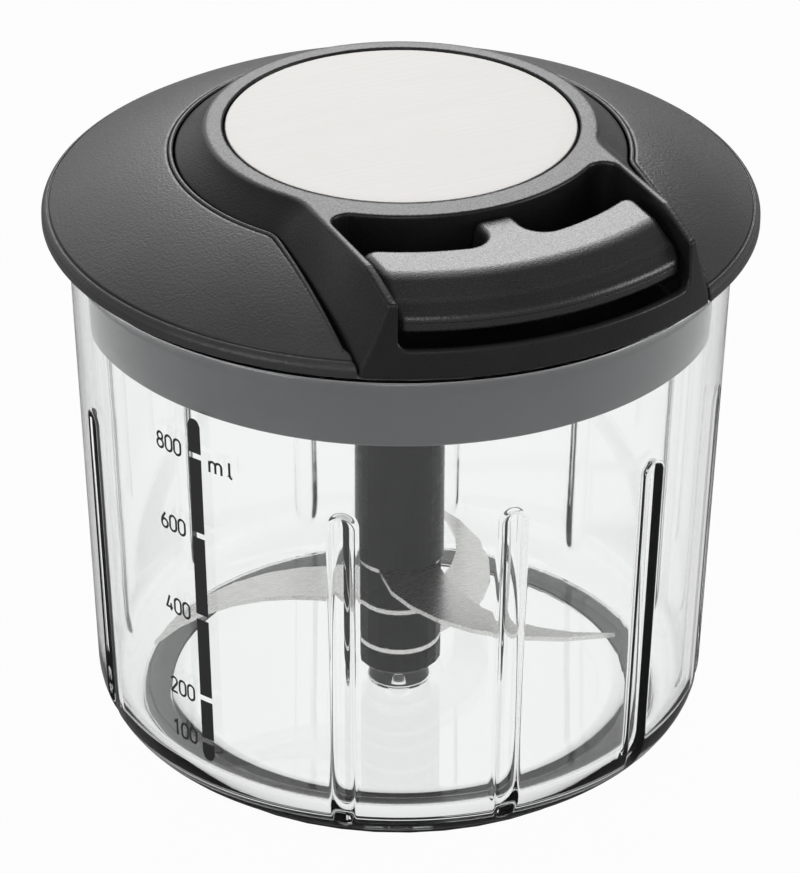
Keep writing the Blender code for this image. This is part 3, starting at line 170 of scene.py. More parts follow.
# handle, as in the CAD but for the lip and the crease above it
LIP_RADIUS = 67.2
BAR_BACK_RADIUS = 49.8
BAR_BEND_RADIUS = 59.4
HANDLE_BOTTOM_Z = 118.4
LIP_TOP_Z = 123.0
HANDLE_TOP_Z = 126.7
HANDLE_HALF_WIDTH = 28.8
HANDLE_DRAFT = 1.2
BAR_CORNER = 3.0
STEM_HALF_WIDTH = 3.8
STEM_DRAFT = 1.5
STEM_FILLET = 5.6
STEM_GAP = 0.25
STEM_CORNER = 1.6
KNOT_Y = -50.5
HANDLE_SCREW_X = 16.0
HANDLE_SCREW_Y = -56.0
HANDLE_SCREW_RADIUS = 1.4
HANDLE_HEAD_RADIUS = 2.5
HANDLE_HEAD_ROOM = 1.5
HANDLE_HOLE_TOP_Z = 123.1
PARTING_GAP = 0.03
BAR_BEND = 0.8
LIP_STEP = 1.45
LIP_DIP = 0.45
LIP_LEAN = 0.45
LIP_REACH = 1.5
LIP_ROUND = 0.95
CREASE_ROUND = 0.8
HANDLE_ROUND = 1.2
LIP_END_ROUND = 0.3
PARTING_ROUND = 0.04

# cord
REEL_DRUM_RADIUS = 19.0
CORD_RADIUS = 0.6
CORD_PITCH = 1.7
CORD_BEND = 33.4
CORD_SIDES = 12
WINDING_RADIUS = REEL_DRUM_RADIUS + CORD_RADIUS + SEAT_GAP
WINDING_PARTS = 48
# where the run starts, how far its bend reaches before and after the corner, and where it ends
RUN_LEAD = 0.9
BEND_IN = 1.5
BEND_OUT = 1.2
KNOT_REACH = 2.3

# camera, solved from the photograph, in metres and pixels, with its sensor in millimetres
PICTURE_WIDTH = 800
PICTURE_HEIGHT = 873
FOCAL_PIXELS = 4840.5
CAMERA_DISTANCE = 0.9586
CAMERA_ELEVATION = 0.50451
CAMERA_BEARING = radians(25.0)
CAMERA_ROLL = 0.004663
CAMERA_TARGET = Vector((0, 0, 0.0671))
SENSOR_WIDTH = 36.0
HORIZON_ROW = 403.36


# small helpers

def oval(middle_x, middle_y, half_x, half_y, start_deg, end_deg, count=16):
    """Points along a stretch of an oval, both ends included."""
    step = (end_deg - start_deg) / (count - 1)
    angles = [radians(start_deg + step * i) for i in range(count)]
    return [(middle_x + half_x * cos(a), middle_y + half_y * sin(a)) for a in angles]


def arc(center, radius, start_deg, end_deg, count):
    return oval(*center, radius, radius, start_deg, end_deg, count)


def bent(start, corner, end, parts):
    """Points of a curve from start to end that bends round a corner."""
    shares = [k / parts for k in range(parts + 1)]
    return [start * (1 - t) ** 2 + corner * 2 * t * (1 - t) + end * t * t for t in shares]


def polar(radius, angle, z):
    return radius * np.cos(angle), radius * np.sin(angle), z


def at_bearing(radius, bearing_deg, z):
    """A point at a bearing counted from the handle, -Y, towards +X."""
    bearing = radians(bearing_deg)
    return (radius * sin(bearing), -radius * cos(bearing), z)


def link(data, name):
    made = bpy.data.objects.new(name, data)
    bpy.context.scene.collection.objects.link(made)
    return made


def object_of(name, points, faces):
    """An object from points in millimetres and faces."""
    mesh = bpy.data.meshes.new(name)
    mesh.from_pydata((np.array(points) * MM).tolist(), [], faces)
    mesh.update()
    return link(mesh, name)


def grid_object(name, grid, wrap_rows=False):
    """An object through a grid of points, given as an array of rings by columns by three."""
    rows, columns = grid.shape[:2]
    r = np.arange(rows if wrap_rows else rows - 1)[:, None]
    c = np.arange(columns)[None, :]
    next_r = (r + 1) % rows
    next_c = (c + 1) % columns
    places = ((r, c), (r, next_c), (next_r, next_c), (next_r, c))
    faces = np.stack([row * columns + column for row, column in places], axis=-1)
    return tidy(object_of(name, grid.reshape(-1, 3), faces.reshape(-1, 4).tolist()))


def tidy(made, distance=0.00001):
    """Merges points that fall together and turns the faces outwards."""
    shape = bmesh.new()
    shape.from_mesh(made.data)
    bmesh.ops.remove_doubles(shape, verts=shape.verts, dist=distance)
    bmesh.ops.dissolve_degenerate(shape, edges=shape.edges, dist=distance)
    bmesh.ops.recalc_face_normals(shape, faces=shape.faces)
    shape.to_mesh(made.data)
    shape.free()
    return made


def turned(name, profile, sides=192):
    """A solid of revolution about Z through (radius, height) points.

    A profile that starts and ends on the axis stays open, and any other is a closed ring.
    """
    on_axis = profile[0][0] == 0 and profile[-1][0] == 0
    angles = np.arange(sides) * tau / sides
    r, z = (np.array(column)[:, None] for column in zip(*profile))
    grid = np.stack(np.broadcast_arrays(*polar(r, angles, z)), axis=-1)
    return grid_object(name, grid, wrap_rows=not on_axis)


def soft_profile(corners, parts=5):
    """A profile whose corners (radius, height, round) are rounded off, in order."""
    points = []
    count = len(corners)
    for i, (r, z, round_off) in enumerate(corners):
        here = Vector((r, z))
        before = Vector(corners[i - 1][:2]) - here
        after = Vector(corners[(i + 1) % count][:2]) - here
        if round_off == 0:
            points.append((r, z))
            continue
        start = here + before.normalized() * round_off
        end = here + after.normalized() * round_off
        points += [(p.x, p.y) for p in bent(start, here, end, parts)]
    return points


def rod(name, radius, start, end, sides=32):
    """A cylinder between two points, in millimetres."""
    start = Vector(start) * MM
    end = Vector(end) * MM
    along = end - start
    shape = bmesh.new()
    size = radius * MM
    bmesh.ops.create_cone(
        shape, cap_ends=True, segments=sides, radius1=size, radius2=size, depth=along.length
    )
    aim = along.to_track_quat("Z", "Y").to_matrix().to_4x4()
    shape.transform(Matrix.Translation((start + end) / 2) @ aim)
    mesh = bpy.data.meshes.new(name)
    shape.to_mesh(mesh)
    shape.free()
    return link(mesh, name)


def cut(made, other):
    """Cuts the second solid out of the first and removes it."""
    change = made.modifiers.new("cut", "BOOLEAN")
    change.operation = "DIFFERENCE"
    change.object = other
    bpy.context.view_layer.update()
    graph = bpy.context.evaluated_depsgraph_get()
    mesh = bpy.data.meshes.new_from_object(made.evaluated_get(graph))
    made.modifiers.clear()
    made.data = mesh
    bpy.data.objects.remove(other, do_unlink=True)
    return tidy(made, 0.000002)


def smooth(made, angle=None):
    """Smooth shading, with creases kept above an angle in degrees."""
    made.data.shade_smooth()
    if angle is not None:
        made.data.set_sharp_from_angle(angle=radians(angle))
    return made


# smooth forms from signed distances, negative inside a solid, in millimetres

def round_cross(a, b, radius):
    """What lies in both forms, with a round of this radius along their common edge."""
    reach = np.hypot(np.maximum(a + radius, 0), np.maximum(b + radius, 0))
    return np.minimum(np.maximum(a, b), -radius) + reach


def round_join(a, b, radius):
    """What lies in either form, with a fillet of this radius where they meet."""
    reach = np.hypot(np.maximum(radius - a, 0), np.maximum(radius - b, 0))
    return np.maximum(np.minimum(a, b), radius) - reach


class Region:
    """Signed distances to a closed outline in a plane, kept on a net and read between its points."""

    def __init__(self, outline, low, high, step):
        self.low = low
        self.step = step
        axes = [np.arange(a, b + step, step) for a, b in zip(low, high)]
        u, v = (part.ravel() for part in np.meshgrid(*axes, indexing="ij"))
        nearest = np.full(len(u), 1e9)
        inside = np.zeros(len(u), dtype=bool)
        for (a, b), (c, d) in zip(outline, outline[1:] + outline[:1]):
            along = (c - a, d - b)
            length = along[0] ** 2 + along[1] ** 2
            if length < 1e-12:
                continue
            share = np.clip(((u - a) * along[0] + (v - b) * along[1]) / length, 0, 1)
            gap = (u - a - share * along[0]) ** 2 + (v - b - share * along[1]) ** 2
            nearest = np.minimum(nearest, gap)
            if b != d:
                inside ^= ((b > v) != (d > v)) & (u < a + (v - b) * along[0] / along[1])
        values = np.where(inside, -1, 1) * np.sqrt(nearest)
        self.values = values.reshape(len(axes[0]), len(axes[1]))

    def __call__(self, u, v):
        places = []
        for value, low, count in zip((u, v), self.low, self.values.shape):
            place = np.clip((value - low) / self.step, 0, count - 1.001)
            whole = place.astype(int)
            places.append((whole, place - whole))
        (i, s), (j, t) = places
        near = self.values[i, j] * (1 - t) + self.values[i, j + 1] * t
        far = self.values[i + 1, j] * (1 - t) + self.values[i + 1, j + 1] * t
        return near * (1 - s) + far * s


AXES = np.eye(3, dtype=int)


def crossed_cells(values):
    """The cells of a net that a surface crosses, and their numbers in an array."""
    inside = values < 0
    shape = [n - 1 for n in values.shape]
    total = np.zeros(shape, dtype=np.int8)
    for i in (0, 1):
        for j in (0, 1):
            for k in (0, 1):
                total += inside[i : i + shape[0], j : j + shape[1], k : k + shape[2]]
    active = (total > 0) & (total < 8)
    cells = np.argwhere(active)
    numbers = np.full(shape, -1, dtype=np.int64)
    numbers[active] = np.arange(len(cells))
    return cells, numbers


def surface_points(values, cells):
    """One point a cell, in the middle of where the surface crosses the cell's edges."""
    total = np.zeros((len(cells), 3))
    hits = np.zeros(len(cells))
    for axis, along in enumerate(AXES):
        others = np.delete(AXES, axis, axis=0)
        for p in (0, 1):
            for q in (0, 1):
                start = cells + others[0] * p + others[1] * q
                first = values[tuple(start.T)]
                last = values[tuple((start + along).T)]
                crosses = (first < 0) != (last < 0)
                share = np.where(crosses, first / np.where(crosses, first - last, 1), 0)
                total += np.where(crosses[:, None], start + share[:, None] * along, 0)
                hits += crosses
    return total / hits[:, None]


def surface_faces(values, numbers):
    """A face across every edge of the net that the surface crosses."""
    inside = values < 0
    faces = []
    for axis in range(3):
        first, second = (AXES[(axis + k) % 3] for k in (1, 2))
        low = [slice(0, n - 1) if k == axis else slice(1, n - 1) for k, n in enumerate(values.shape)]
        high = [slice(1, n) if k == axis else slice(1, n - 1) for k, n in enumerate(values.shape)]
        crossed = inside[tuple(low)] != inside[tuple(high)]
        places = np.argwhere(crossed) + [0 if k == axis else 1 for k in range(3)]
        starts_inside = inside[tuple(places.T)]
        corners = [places - first - second, places - second, places, places - first]
        quads = np.stack([numbers[tuple(c.T)] for c in corners], axis=-1)
        quads[~starts_inside] = quads[~starts_inside][:, ::-1]
        faces.append(quads)
    return np.concatenate(faces)


def steps(low, high, step):
    """Evenly spaced values from low to at least high."""
    return low + step * np.arange(ceil((high - low) / step) + 1)


# how a net's points are moved onto the surface, in millimetres
NUDGE = 0.03
MOVES = 3
LONGEST_MOVE = 0.12
FLATTEST_SLOPE = 0.1


def solid_of(name, field, axes, place=None):
    """A mesh of the surface where field(x, y, z) is 0, found on a net between three axes.

    The axes are x, y and z in millimetres, unless place turns them into these.
    """
    net = np.meshgrid(*axes, indexing="ij", sparse=True)
    values = field(*(place(*net) if place else net))
    cells, numbers = crossed_cells(values)
    spots = surface_points(values, cells)
    points = [np.interp(spots[:, k], np.arange(len(axis)), axis) for k, axis in enumerate(axes)]
    points = np.stack(place(*points) if place else points, axis=-1)
    for _ in range(MOVES):
        here = field(*points.T)
        slope = np.empty_like(points)
        for axis in range(3):
            move = AXES[axis] * NUDGE
            slope[:, axis] = (field(*(points + move).T) - field(*(points - move).T)) / (2 * NUDGE)
        size = np.maximum((slope**2).sum(axis=1), FLATTEST_SLOPE)
        points += np.clip(-slope * (here / size)[:, None], -LONGEST_MOVE, LONGEST_MOVE)
    return smooth(object_of(name, points, surface_faces(values, numbers).tolist()))


def boxed(name, field, low, high, step):
    """A field's solid on an even net between two corners."""
    return solid_of(name, field, [steps(a, b, step) for a, b in zip(low, high)])


def tube(name, points, radius, sides):
    """A round tube with closed ends through points in millimetres."""
    path = [Vector(p) for p in points]
    count = len(path)
    spans = [path[min(i + 1, count - 1)] - path[max(i - 1, 0)] for i in range(count)]
    tangents = [span.normalized() for span in spans]
    side = tangents[0].orthogonal().normalized()
    rows = []
    turns = [tau * k / sides for k in range(sides)]
    for place, along in zip(path, tangents):
        side = (side - along * side.dot(along)).normalized()
        other = along.cross(side)
        rows.append([tuple(place + (side * cos(a) + other * sin(a)) * radius) for a in turns])
    first = [tuple(path[0])] * sides
    last = [tuple(path[-1])] * sides
    grid = np.array([first] + rows + [last])
    return smooth(grid_object(name, grid))


def finish(made, paint, body, slot, *replaced):
    """Gives a piece its material and its body, and hides the CAD nodes it stands for; slot is not
    used.
    """
    made.data.materials.clear()
    made.data.materials.append(paint)
    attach(made, body)
    if replaced:
        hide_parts(*replaced)


def dress(paint, *names):
    """Gives CAD nodes a material."""
    for name in names:
        for place in NODES[name].material_slots:
            place.material = paint


# material nodes

class Nodes:
    """Short ways to add nodes to a tree. An input takes a value or another node's output."""

    def __init__(self, tree):
        self.tree = tree

    def node(self, kind, **settings):
        made = self.tree.nodes.new("ShaderNode" + kind)
        for key, value in settings.items():
            setattr(made, key, value)
        return made

    def put(self, socket, value):
        if isinstance(value, bpy.types.NodeSocket):
            self.tree.links.new(value, socket)
        elif socket.type == "RGBA":
            socket.default_value = (*value, 1.0)
        else:
            socket.default_value = value

    def math(self, operation, first, second):
        made = self.node("Math", operation=operation)
        self.put(made.inputs[0], first)
        self.put(made.inputs[1], second)
        return made.outputs[0]

    def ranged(self, value, low, high, to_low, to_high, kind="LINEAR"):
        made = self.node("MapRange", interpolation_type=kind)
        names = ("Value", "From Min", "From Max", "To Min", "To Max")
        for name, given in zip(names, (value, low, high, to_low, to_high)):
            self.put(made.inputs[name], given)
        return made.outputs["Result"]

    def mixed(self, factor, first, second, kind="RGBA"):
        """A colour between two, or a number when the kind is FLOAT."""
        made = self.node("Mix", data_type=kind)
        place, output = (6, 2) if kind == "RGBA" else (2, 0)
        for index, value in ((0, factor), (place, first), (place + 1, second)):
            self.put(made.inputs[index], value)
        return made.outputs[output]


class Paint(Nodes):
    """A node material around one Principled shader."""

    def __init__(self, name, color, roughness, metallic=0.0, **fixed):
        self.material = bpy.data.materials.new(name)
        self.material.use_nodes = True
        super().__init__(self.material.node_tree)
        self.shader = self.tree.nodes["Principled BSDF"]
        self.sockets = self.shader.inputs
        fixed.update(Base_Color=color, Roughness=roughness, Metallic=metallic)
        for key, value in fixed.items():
            self.put(self.sockets[key.replace("_", " ")], value)
        self.place = self.node("TexCoord").outputs["Object"]
        self.bump_chain = None

    def pattern(self, kind, scale, **settings):
        """A texture node on object coordinates, whose scale is in waves a millimetre."""
        if not isinstance(scale, tuple):
            scale = (scale,) * 3
        mapping = self.node("Mapping")
        self.put(mapping.inputs["Scale"], [v / MM for v in scale])
        self.put(mapping.inputs["Vector"], self.place)
        made = self.node(kind)
        self.put(made.inputs["Vector"], mapping.outputs["Vector"])
        self.put(made.inputs["Scale"], 1.0)
        for key, value in settings.items():
            self.put(made.inputs[key], value)
        return made

    def noise(self, scale, detail=3.0, rough=0.55):
        return self.pattern("TexNoise", scale, Detail=detail, Roughness=rough).outputs["Fac"]

    def tones(self, pattern, first, second, low=0.35, high=0.65):
        """Blends two colours by a pattern."""
        tone = self.mixed(self.ranged(pattern, low, high, 0, 1), first, second)
        self.put(self.sockets["Base Color"], tone)

    def gloss(self, pattern, low, high):
        """Varies the roughness by a pattern."""
        self.put(self.sockets["Roughness"], self.ranged(pattern, 0.3, 0.7, low, high))

    def relief(self, pattern, low, high, depth, strength=1.0):
        """A grain that shows in both the roughness and the bump."""
        self.gloss(pattern, low, high)
        self.bump(pattern, depth, strength)

    def bump(self, height, distance, strength=1.0):
        """Adds a bump whose height of 1 is distance in millimetres."""
        made = self.node("Bump")
        self.put(made.inputs["Strength"], strength)
        self.put(made.inputs["Distance"], distance * MM)
        self.put(made.inputs["Height"], height)
        if self.bump_chain is not None:
            self.put(made.inputs["Normal"], self.bump_chain)
        self.bump_chain = made.outputs["Normal"]
        self.put(self.sockets["Normal"], self.bump_chain)


def grained_plastic(name, color, lighter, roughness, grain, depth, shine=0.5):
    """Moulded plastic with a fine spark-eroded grain; grain is its size in millimetres."""
    paint = Paint(name, color, roughness, Specular_IOR_Level=shine)
    fine = paint.noise(1 / grain, 2.0, 0.6)
    paint.tones(paint.noise(0.05, 2.0), color, lighter)
    paint.relief(fine, roughness - 0.05, roughness + 0.06, depth)
    return paint.material


def clear_material():
    paint = Paint("clear_plastic", (0.972, 0.98, 0.978), 0.015, IOR=1.5, Transmission_Weight=1.0)
    paint.relief(paint.noise(0.045, 1.5), 0.008, 0.03, 0.05, 0.5)
    return paint.material


def ink_material():
    paint = Paint("printed_ink", (0.028, 0.027, 0.03), 0.42)
    paint.relief(paint.noise(3.0, 2.0), 0.36, 0.5, 0.004)
    return paint.material


def brushed_disc_material():
    """Steel brushed along one direction, with the odd longer scratch."""
    paint = Paint("disc_steel", (0.5, 0.493, 0.483), 0.56, 1.0)
    strokes = paint.noise((0.03, 7.0, 0.03), 4.0, 0.62)
    longer = paint.noise((0.012, 2.2, 0.02), 2.0, 0.5)
    both = paint.math("ADD", paint.math("MULTIPLY", strokes, 0.7), paint.math("MULTIPLY", longer, 0.3))
    paint.tones(both, (0.44, 0.433, 0.422), (0.535, 0.527, 0.515), 0.36, 0.64)
    paint.relief(both, 0.52, 0.62, 0.012)
    return paint.material


def ground_steel_material(name, roughness):
    """Plain steel with faint grinding marks."""
    paint = Paint(name, (0.72, 0.715, 0.7), roughness, 1.0)
    marks = paint.noise((0.3, 6.0, 3.0), 3.0, 0.6)
    paint.tones(marks, (0.66, 0.655, 0.64), (0.78, 0.775, 0.765))
    paint.relief(marks, roughness - 0.05, roughness + 0.07, 0.006)
    return paint.material


def nylon_material():
    paint = Paint("white_nylon", (0.78, 0.77, 0.74), 0.42, Subsurface_Weight=0.1)
    paint.put(paint.sockets["Subsurface Radius"], (0.0012, 0.0011, 0.001))
    grain = paint.noise(3.5, 2.0)
    paint.tones(paint.noise(0.12), (0.75, 0.74, 0.71), (0.81, 0.8, 0.775))
    paint.relief(grain, 0.36, 0.5, 0.01)
    return paint.material


def rubber_material(name, color, lighter):
    paint = Paint(name, color, 0.72)
    grain = paint.noise(2.2, 4.0, 0.65)
    paint.tones(grain, color, lighter)
    paint.relief(grain, 0.65, 0.82, 0.02)
    return paint.material


def cord_material():
    """Braided polyester: fine diagonal strands seen as small cells."""
    paint = Paint("braided_cord", (0.06, 0.06, 0.064), 0.8)
    strands = paint.pattern("TexVoronoi", 3.2).outputs["Distance"]
    fuzz = paint.noise(9.0)
    paint.tones(strands, (0.1, 0.1, 0.105), (0.03, 0.03, 0.033), 0.1, 0.6)
    paint.gloss(fuzz, 0.72, 0.9)
    paint.bump(strands, -0.1)
    paint.bump(fuzz, 0.02)
    return paint.material


CLEAR = clear_material()
INK = ink_material()
CHARCOAL = grained_plastic(
    "charcoal_plastic", (0.038, 0.038, 0.04), (0.045, 0.045, 0.047), 0.33, 0.55, 0.1
)
BLACK = grained_plastic(
    "black_plastic", (0.012, 0.012, 0.013), (0.016, 0.016, 0.017), 0.32, 0.5, 0.06, 0.45
)
HANDLE_BLACK = grained_plastic(
    "handle_plastic", (0.012, 0.012, 0.013), (0.016, 0.016, 0.017), 0.29, 0.42, 0.055, 0.87
)
GREY = grained_plastic(
    "grey_plastic", (0.13, 0.131, 0.139), (0.142, 0.143, 0.151), 0.34, 0.9, 0.002
)
INSERT_BLACK = grained_plastic(
    "insert_plastic", (0.004, 0.004, 0.005), (0.007, 0.007, 0.008), 0.25, 1.5, 0.004, 0.08
)
DISC_STEEL = brushed_disc_material()
BLADE_STEEL = ground_steel_material("blade_steel", 0.24)
PLAIN_STEEL = ground_steel_material("plain_steel", 0.3)
NYLON = nylon_material()
RUBBER = rubber_material("black_rubber", (0.018, 0.018, 0.018), (0.026, 0.026, 0.026))
SILICONE = rubber_material("grey_silicone", (0.15, 0.15, 0.155), (0.18, 0.18, 0.185))
CORD = cord_material()


# camera

def make_camera():
    data = bpy.data.cameras.new("view")
    camera = link(data, "view")
    flat = cos(CAMERA_ELEVATION)
    toward = Vector((-sin(CAMERA_BEARING) * flat, -cos(CAMERA_BEARING) * flat, sin(CAMERA_ELEVATION)))
    aim = (-toward).to_track_quat("-Z", "Y").to_matrix().to_4x4()
    place = Matrix.Translation(CAMERA_TARGET + toward * CAMERA_DISTANCE)
    camera.matrix_world = place @ aim @ Matrix.Rotation(CAMERA_ROLL, 4, "Z")
    data.sensor_fit = "HORIZONTAL"
    data.sensor_width = SENSOR_WIDTH
    data.lens = FOCAL_PIXELS * SENSOR_WIDTH / PICTURE_WIDTH
    data.shift_y = (HORIZON_ROW - PICTURE_HEIGHT / 2) / PICTURE_WIDTH
    data.clip_start = 0.05
    data.clip_end = 20.0
    bpy.context.scene.camera = camera


make_camera()


# bowl

def wall_radius(z):
    return BOWL_RIM_RADIUS - BOWL_DRAFT * (BOWL_RIM_Z - z)


def corner_profile(inset, floor_z, count=16):
    """The bowl's bottom corner, from the floor out and up to the drafted wall."""
    radius = BOWL_CORNER_RADIUS - inset
    middle_z = floor_z + radius
    middle_r = wall_radius(middle_z) - inset - radius / cos(atan(BOWL_DRAFT))
    lean = degrees(atan(BOWL_DRAFT))
    return arc((middle_r, middle_z), radius, -90, -lean, count)


def wall_heights(low, high):
    """Heights up the wall, close together round the flutes' tops."""
    fine_low = FLUTE_TOP_Z - FLUTE_RADIUS - 1
    fine_high = FLUTE_TOP_Z + FLUTE_WALL + 1
    stretches = ((low, fine_low, 22), (fine_low, fine_high, 24), (fine_high, high, 8))
    return [z for start, end, count in stretches for z in np.linspace(start, end, count)[1:]]


def bowl_profile():
    """The bowl's section from under its middle, out, up, over the rim and back in.

    Each point is (radius, height, side), where side says which flute surface may cut it.
    """
    foot = BOWL_FOOT_Z
    groove_in = FOOT_RING_OUTER - FOOT_RING_WIDTH - SEAT_GAP
    groove_out = FOOT_RING_OUTER + SEAT_GAP
    groove_top = foot + FOOT_RING_SUNK
    under = [(r, foot) for r in (0, 8, 16, 24, 32, 40)]
    under += [(groove_in - 0.2, foot), (groove_in, foot + 0.2), (groove_in, groove_top)]
    under += [(groove_out, groove_top), (groove_out, foot + 0.2)]
    corner = corner_profile(0, foot)
    outer = [(r, z, "out") for r, z in corner if r > groove_out + 0.3]
    bead_low = BOWL_RIM_Z - RIM_BEAD_HEIGHT
    outer += [(wall_radius(z), z, "out") for z in wall_heights(corner[-1][1], bead_low)]
    rim_out = BOWL_RIM_RADIUS + RIM_BEAD
    rim_in = BOWL_RIM_RADIUS - BOWL_WALL
    rim = [
        (rim_out - 0.1, bead_low + RIM_BEAD - 0.15),
        (rim_out, bead_low + RIM_BEAD),
        (rim_out, BOWL_RIM_Z - RIM_BEAD - 0.2),
        (rim_out - 0.12, BOWL_RIM_Z - 0.35),
        (rim_out - 0.4, BOWL_RIM_Z - 0.08),
        (rim_out - RIM_BEAD - 0.2, BOWL_RIM_Z),
        (rim_in + 0.7, BOWL_RIM_Z),
        (rim_in + 0.25, BOWL_RIM_Z - 0.12),
        (rim_in + 0.02, BOWL_RIM_Z - 0.45),
    ]
    inner_corner = corner_profile(BOWL_WALL, BOWL_FLOOR_Z)
    heights = wall_heights(inner_corner[-1][1], BOWL_RIM_Z - 1.0)
    inner = [(wall_radius(z) - BOWL_WALL, z, "in") for z in reversed(heights)]
    inner += [(r, z, "in") for r, z in reversed(inner_corner)]
    floor = [(r, BOWL_FLOOR_Z) for r in (42, 34, 26, 18, 10, 7.2)]
    boss = [
        (PIVOT_BOSS_RADIUS + 0.35, BOWL_FLOOR_Z + 0.1),
        (PIVOT_BOSS_RADIUS + 0.05, BOWL_FLOOR_Z + 0.5),
        (PIVOT_BOSS_RADIUS, PIVOT_BOSS_Z - 1.2),
        (PIVOT_BOSS_RADIUS - 0.3, PIVOT_BOSS_Z - 0.4),
        (PIVOT_BOSS_RADIUS - 1.1, PIVOT_BOSS_Z),
        (PIN_HOLE_RADIUS + 0.15, PIVOT_BOSS_Z),
        (PIN_HOLE_RADIUS, PIVOT_BOSS_Z - 0.15),
        (PIN_HOLE_RADIUS, PIN_HOLE_Z),
        (0, PIN_HOLE_Z),
    ]
    under, rim, middle = ([(r, z, "") for r, z in part] for part in (under, rim, floor + boss))
    return under + outer + rim + inner + middle


def bowl_bearings():
    """Bearings round the bowl, close together across each flute, and the flutes' own bearings."""
    step = 360 / FLUTE_COUNT
    bearings = []
    flutes = []
    for i in range(FLUTE_COUNT):
        middle = BOWL_TURN_DEG + step * i
        low, high = middle - FLUTE_SPAN_DEG, middle + FLUTE_SPAN_DEG
        count = 12
        if i != SCALE_PLACE:
            count = 48
            flutes.append(middle)
        bearings += list(np.linspace(low, high, count, endpoint=False))
        bearings += list(np.linspace(high, low + step, 18, endpoint=False))
    return np.array(bearings), flutes


def soft_min(a, b, width):
    """The smaller of two, with a round of this width where they meet."""
    share = np.clip(0.5 + 0.5 * (b - a) / width, 0, 1)
    return b * (1 - share) + a * share - width * share * (1 - share)


def fluted(radius, z, offset, side):
    """The wall's radius beside a flute, at an angle from the flute's middle in radians."""
    reach = FLUTE_RADIUS if side == "out" else FLUTE_RADIUS + FLUTE_WALL
    axis = wall_radius(z) + FLUTE_RADIUS - FLUTE_DEPTH
    above = max(0.0, z - (FLUTE_TOP_Z - FLUTE_RADIUS))
    left = reach * reach - above * above - (axis * np.sin(offset)) ** 2
    groove = axis * np.cos(offset) - np.sqrt(np.maximum(left, 0))
    groove = np.where(left > 0, groove, FAR)
    return soft_min(radius, groove, FLUTE_EDGE[side])


def build_bowl():
    bearings, flutes = bowl_bearings()
    turns = np.radians(bearings)
    nearest = np.full(len(bearings), FAR)
    for flute in flutes:
        away = np.radians((bearings - flute + 180) % 360 - 180)
        nearest = np.where(np.abs(away) < np.abs(nearest), away, nearest)
    rows = []
    for radius, z, side in bowl_profile():
        ring = np.full(len(bearings), float(radius))
        if side:
            cut_ring = fluted(ring, z, nearest, side)
            ring = np.where(np.abs(nearest) < FLUTE_REACH, cut_ring, ring)
        row = [ring * np.sin(turns), -ring * np.cos(turns), np.full(len(ring), z)]
        rows.append(np.stack(row, axis=-1))
    bowl = grid_object("clear_bowl", np.array(rows))
    smooth(bowl, 50)
    finish(bowl, CLEAR, "bowl", "clear_plastic", "bowl")


build_bowl()


# printed scale

BAR_BEARING = -62.0
BAR_WIDTH = 2.95
BAR_LOW_Z = 14.5
BAR_HIGH_Z = 91.9
MARKS = ((83.8, "800"), (66.2, "600"), (47.6, "400"), (28.9, "200"), (19.0, "100"))
MARK_GAP = 1.15
DIGIT_HEIGHT = 3.35
DIGIT_STRETCH = 1.03
DIGIT_ADVANCE = 2.28
UNIT_STRETCH = 1.27
STROKE = 0.52
INK_LIFT = 0.03
BAR_ROWS = 14
BAR_COLUMNS = 6
UNIT_LEFT = 3.2
UNIT_BASE_Z = 81.35
UNIT_ADVANCE = 3.35
# the words' left edge and foot beside the lowest mark, and how these shift up to the highest
WORD_LEFT = (-9.2, -0.6)
WORD_FOOT = (-1.85, 0.4)


def on_bowl(across, up):
    """A point on the bowl's outside, across in millimetres from the bar towards +X."""
    radius = wall_radius(up) + INK_LIFT
    return at_bearing(radius, BAR_BEARING + degrees(across / radius), up)


def glyph(letter):
    """Strokes of a character in a box half as wide as high, each (points, closed)."""
    if letter == "0":
        top = oval(0.24, 0.72, 0.24, 0.28, 0, 180)
        bottom = oval(0.24, 0.28, 0.24, 0.28, 180, 360)
        return [(top + bottom, True)]
    if letter == "1":
        return [([(0.06, 0.8), (0.28, 1.0), (0.28, 0.0)], False)]
    if letter == "2":
        hook = oval(0.24, 0.75, 0.23, 0.25, 170, -38)
        return [(hook + [(0.02, 0.04), (0.02, 0.0), (0.48, 0.0)], False)]
    if letter == "4":
        return [([(0.27, 1.0), (0.02, 0.22), (0.5, 0.22)], False), ([(0.36, 0.5), (0.36, 0.0)], False)]
    if letter == "6":
        bowl = oval(0.24, 0.28, 0.24, 0.28, 90, 450, 28)
        return [(bowl[:-1], True), ([(0.3, 1.0)] + oval(0.3, 0.3, 0.3, 0.5, 120, 180, 6), False)]
    if letter == "8":
        upper = oval(0.24, 0.76, 0.2, 0.24, 0, 360, 25)
        lower = oval(0.24, 0.27, 0.24, 0.27, 0, 360, 25)
        return [(upper[:-1], True), (lower[:-1], True)]
    if letter == "m":
        first = oval(0.2, 0.5, 0.16, 0.22, 180, 0, 10)
        second = oval(0.52, 0.5, 0.16, 0.22, 180, 0, 10)
        return [
            ([(0.04, 0.0), (0.04, 0.74)], False),
            (first + [(0.36, 0.0)], False),
            (second + [(0.68, 0.0)], False),
        ]
    return [([(0.1, 1.0), (0.1, 0.16)] + oval(0.24, 0.16, 0.14, 0.16, 180, 270, 6), False)]


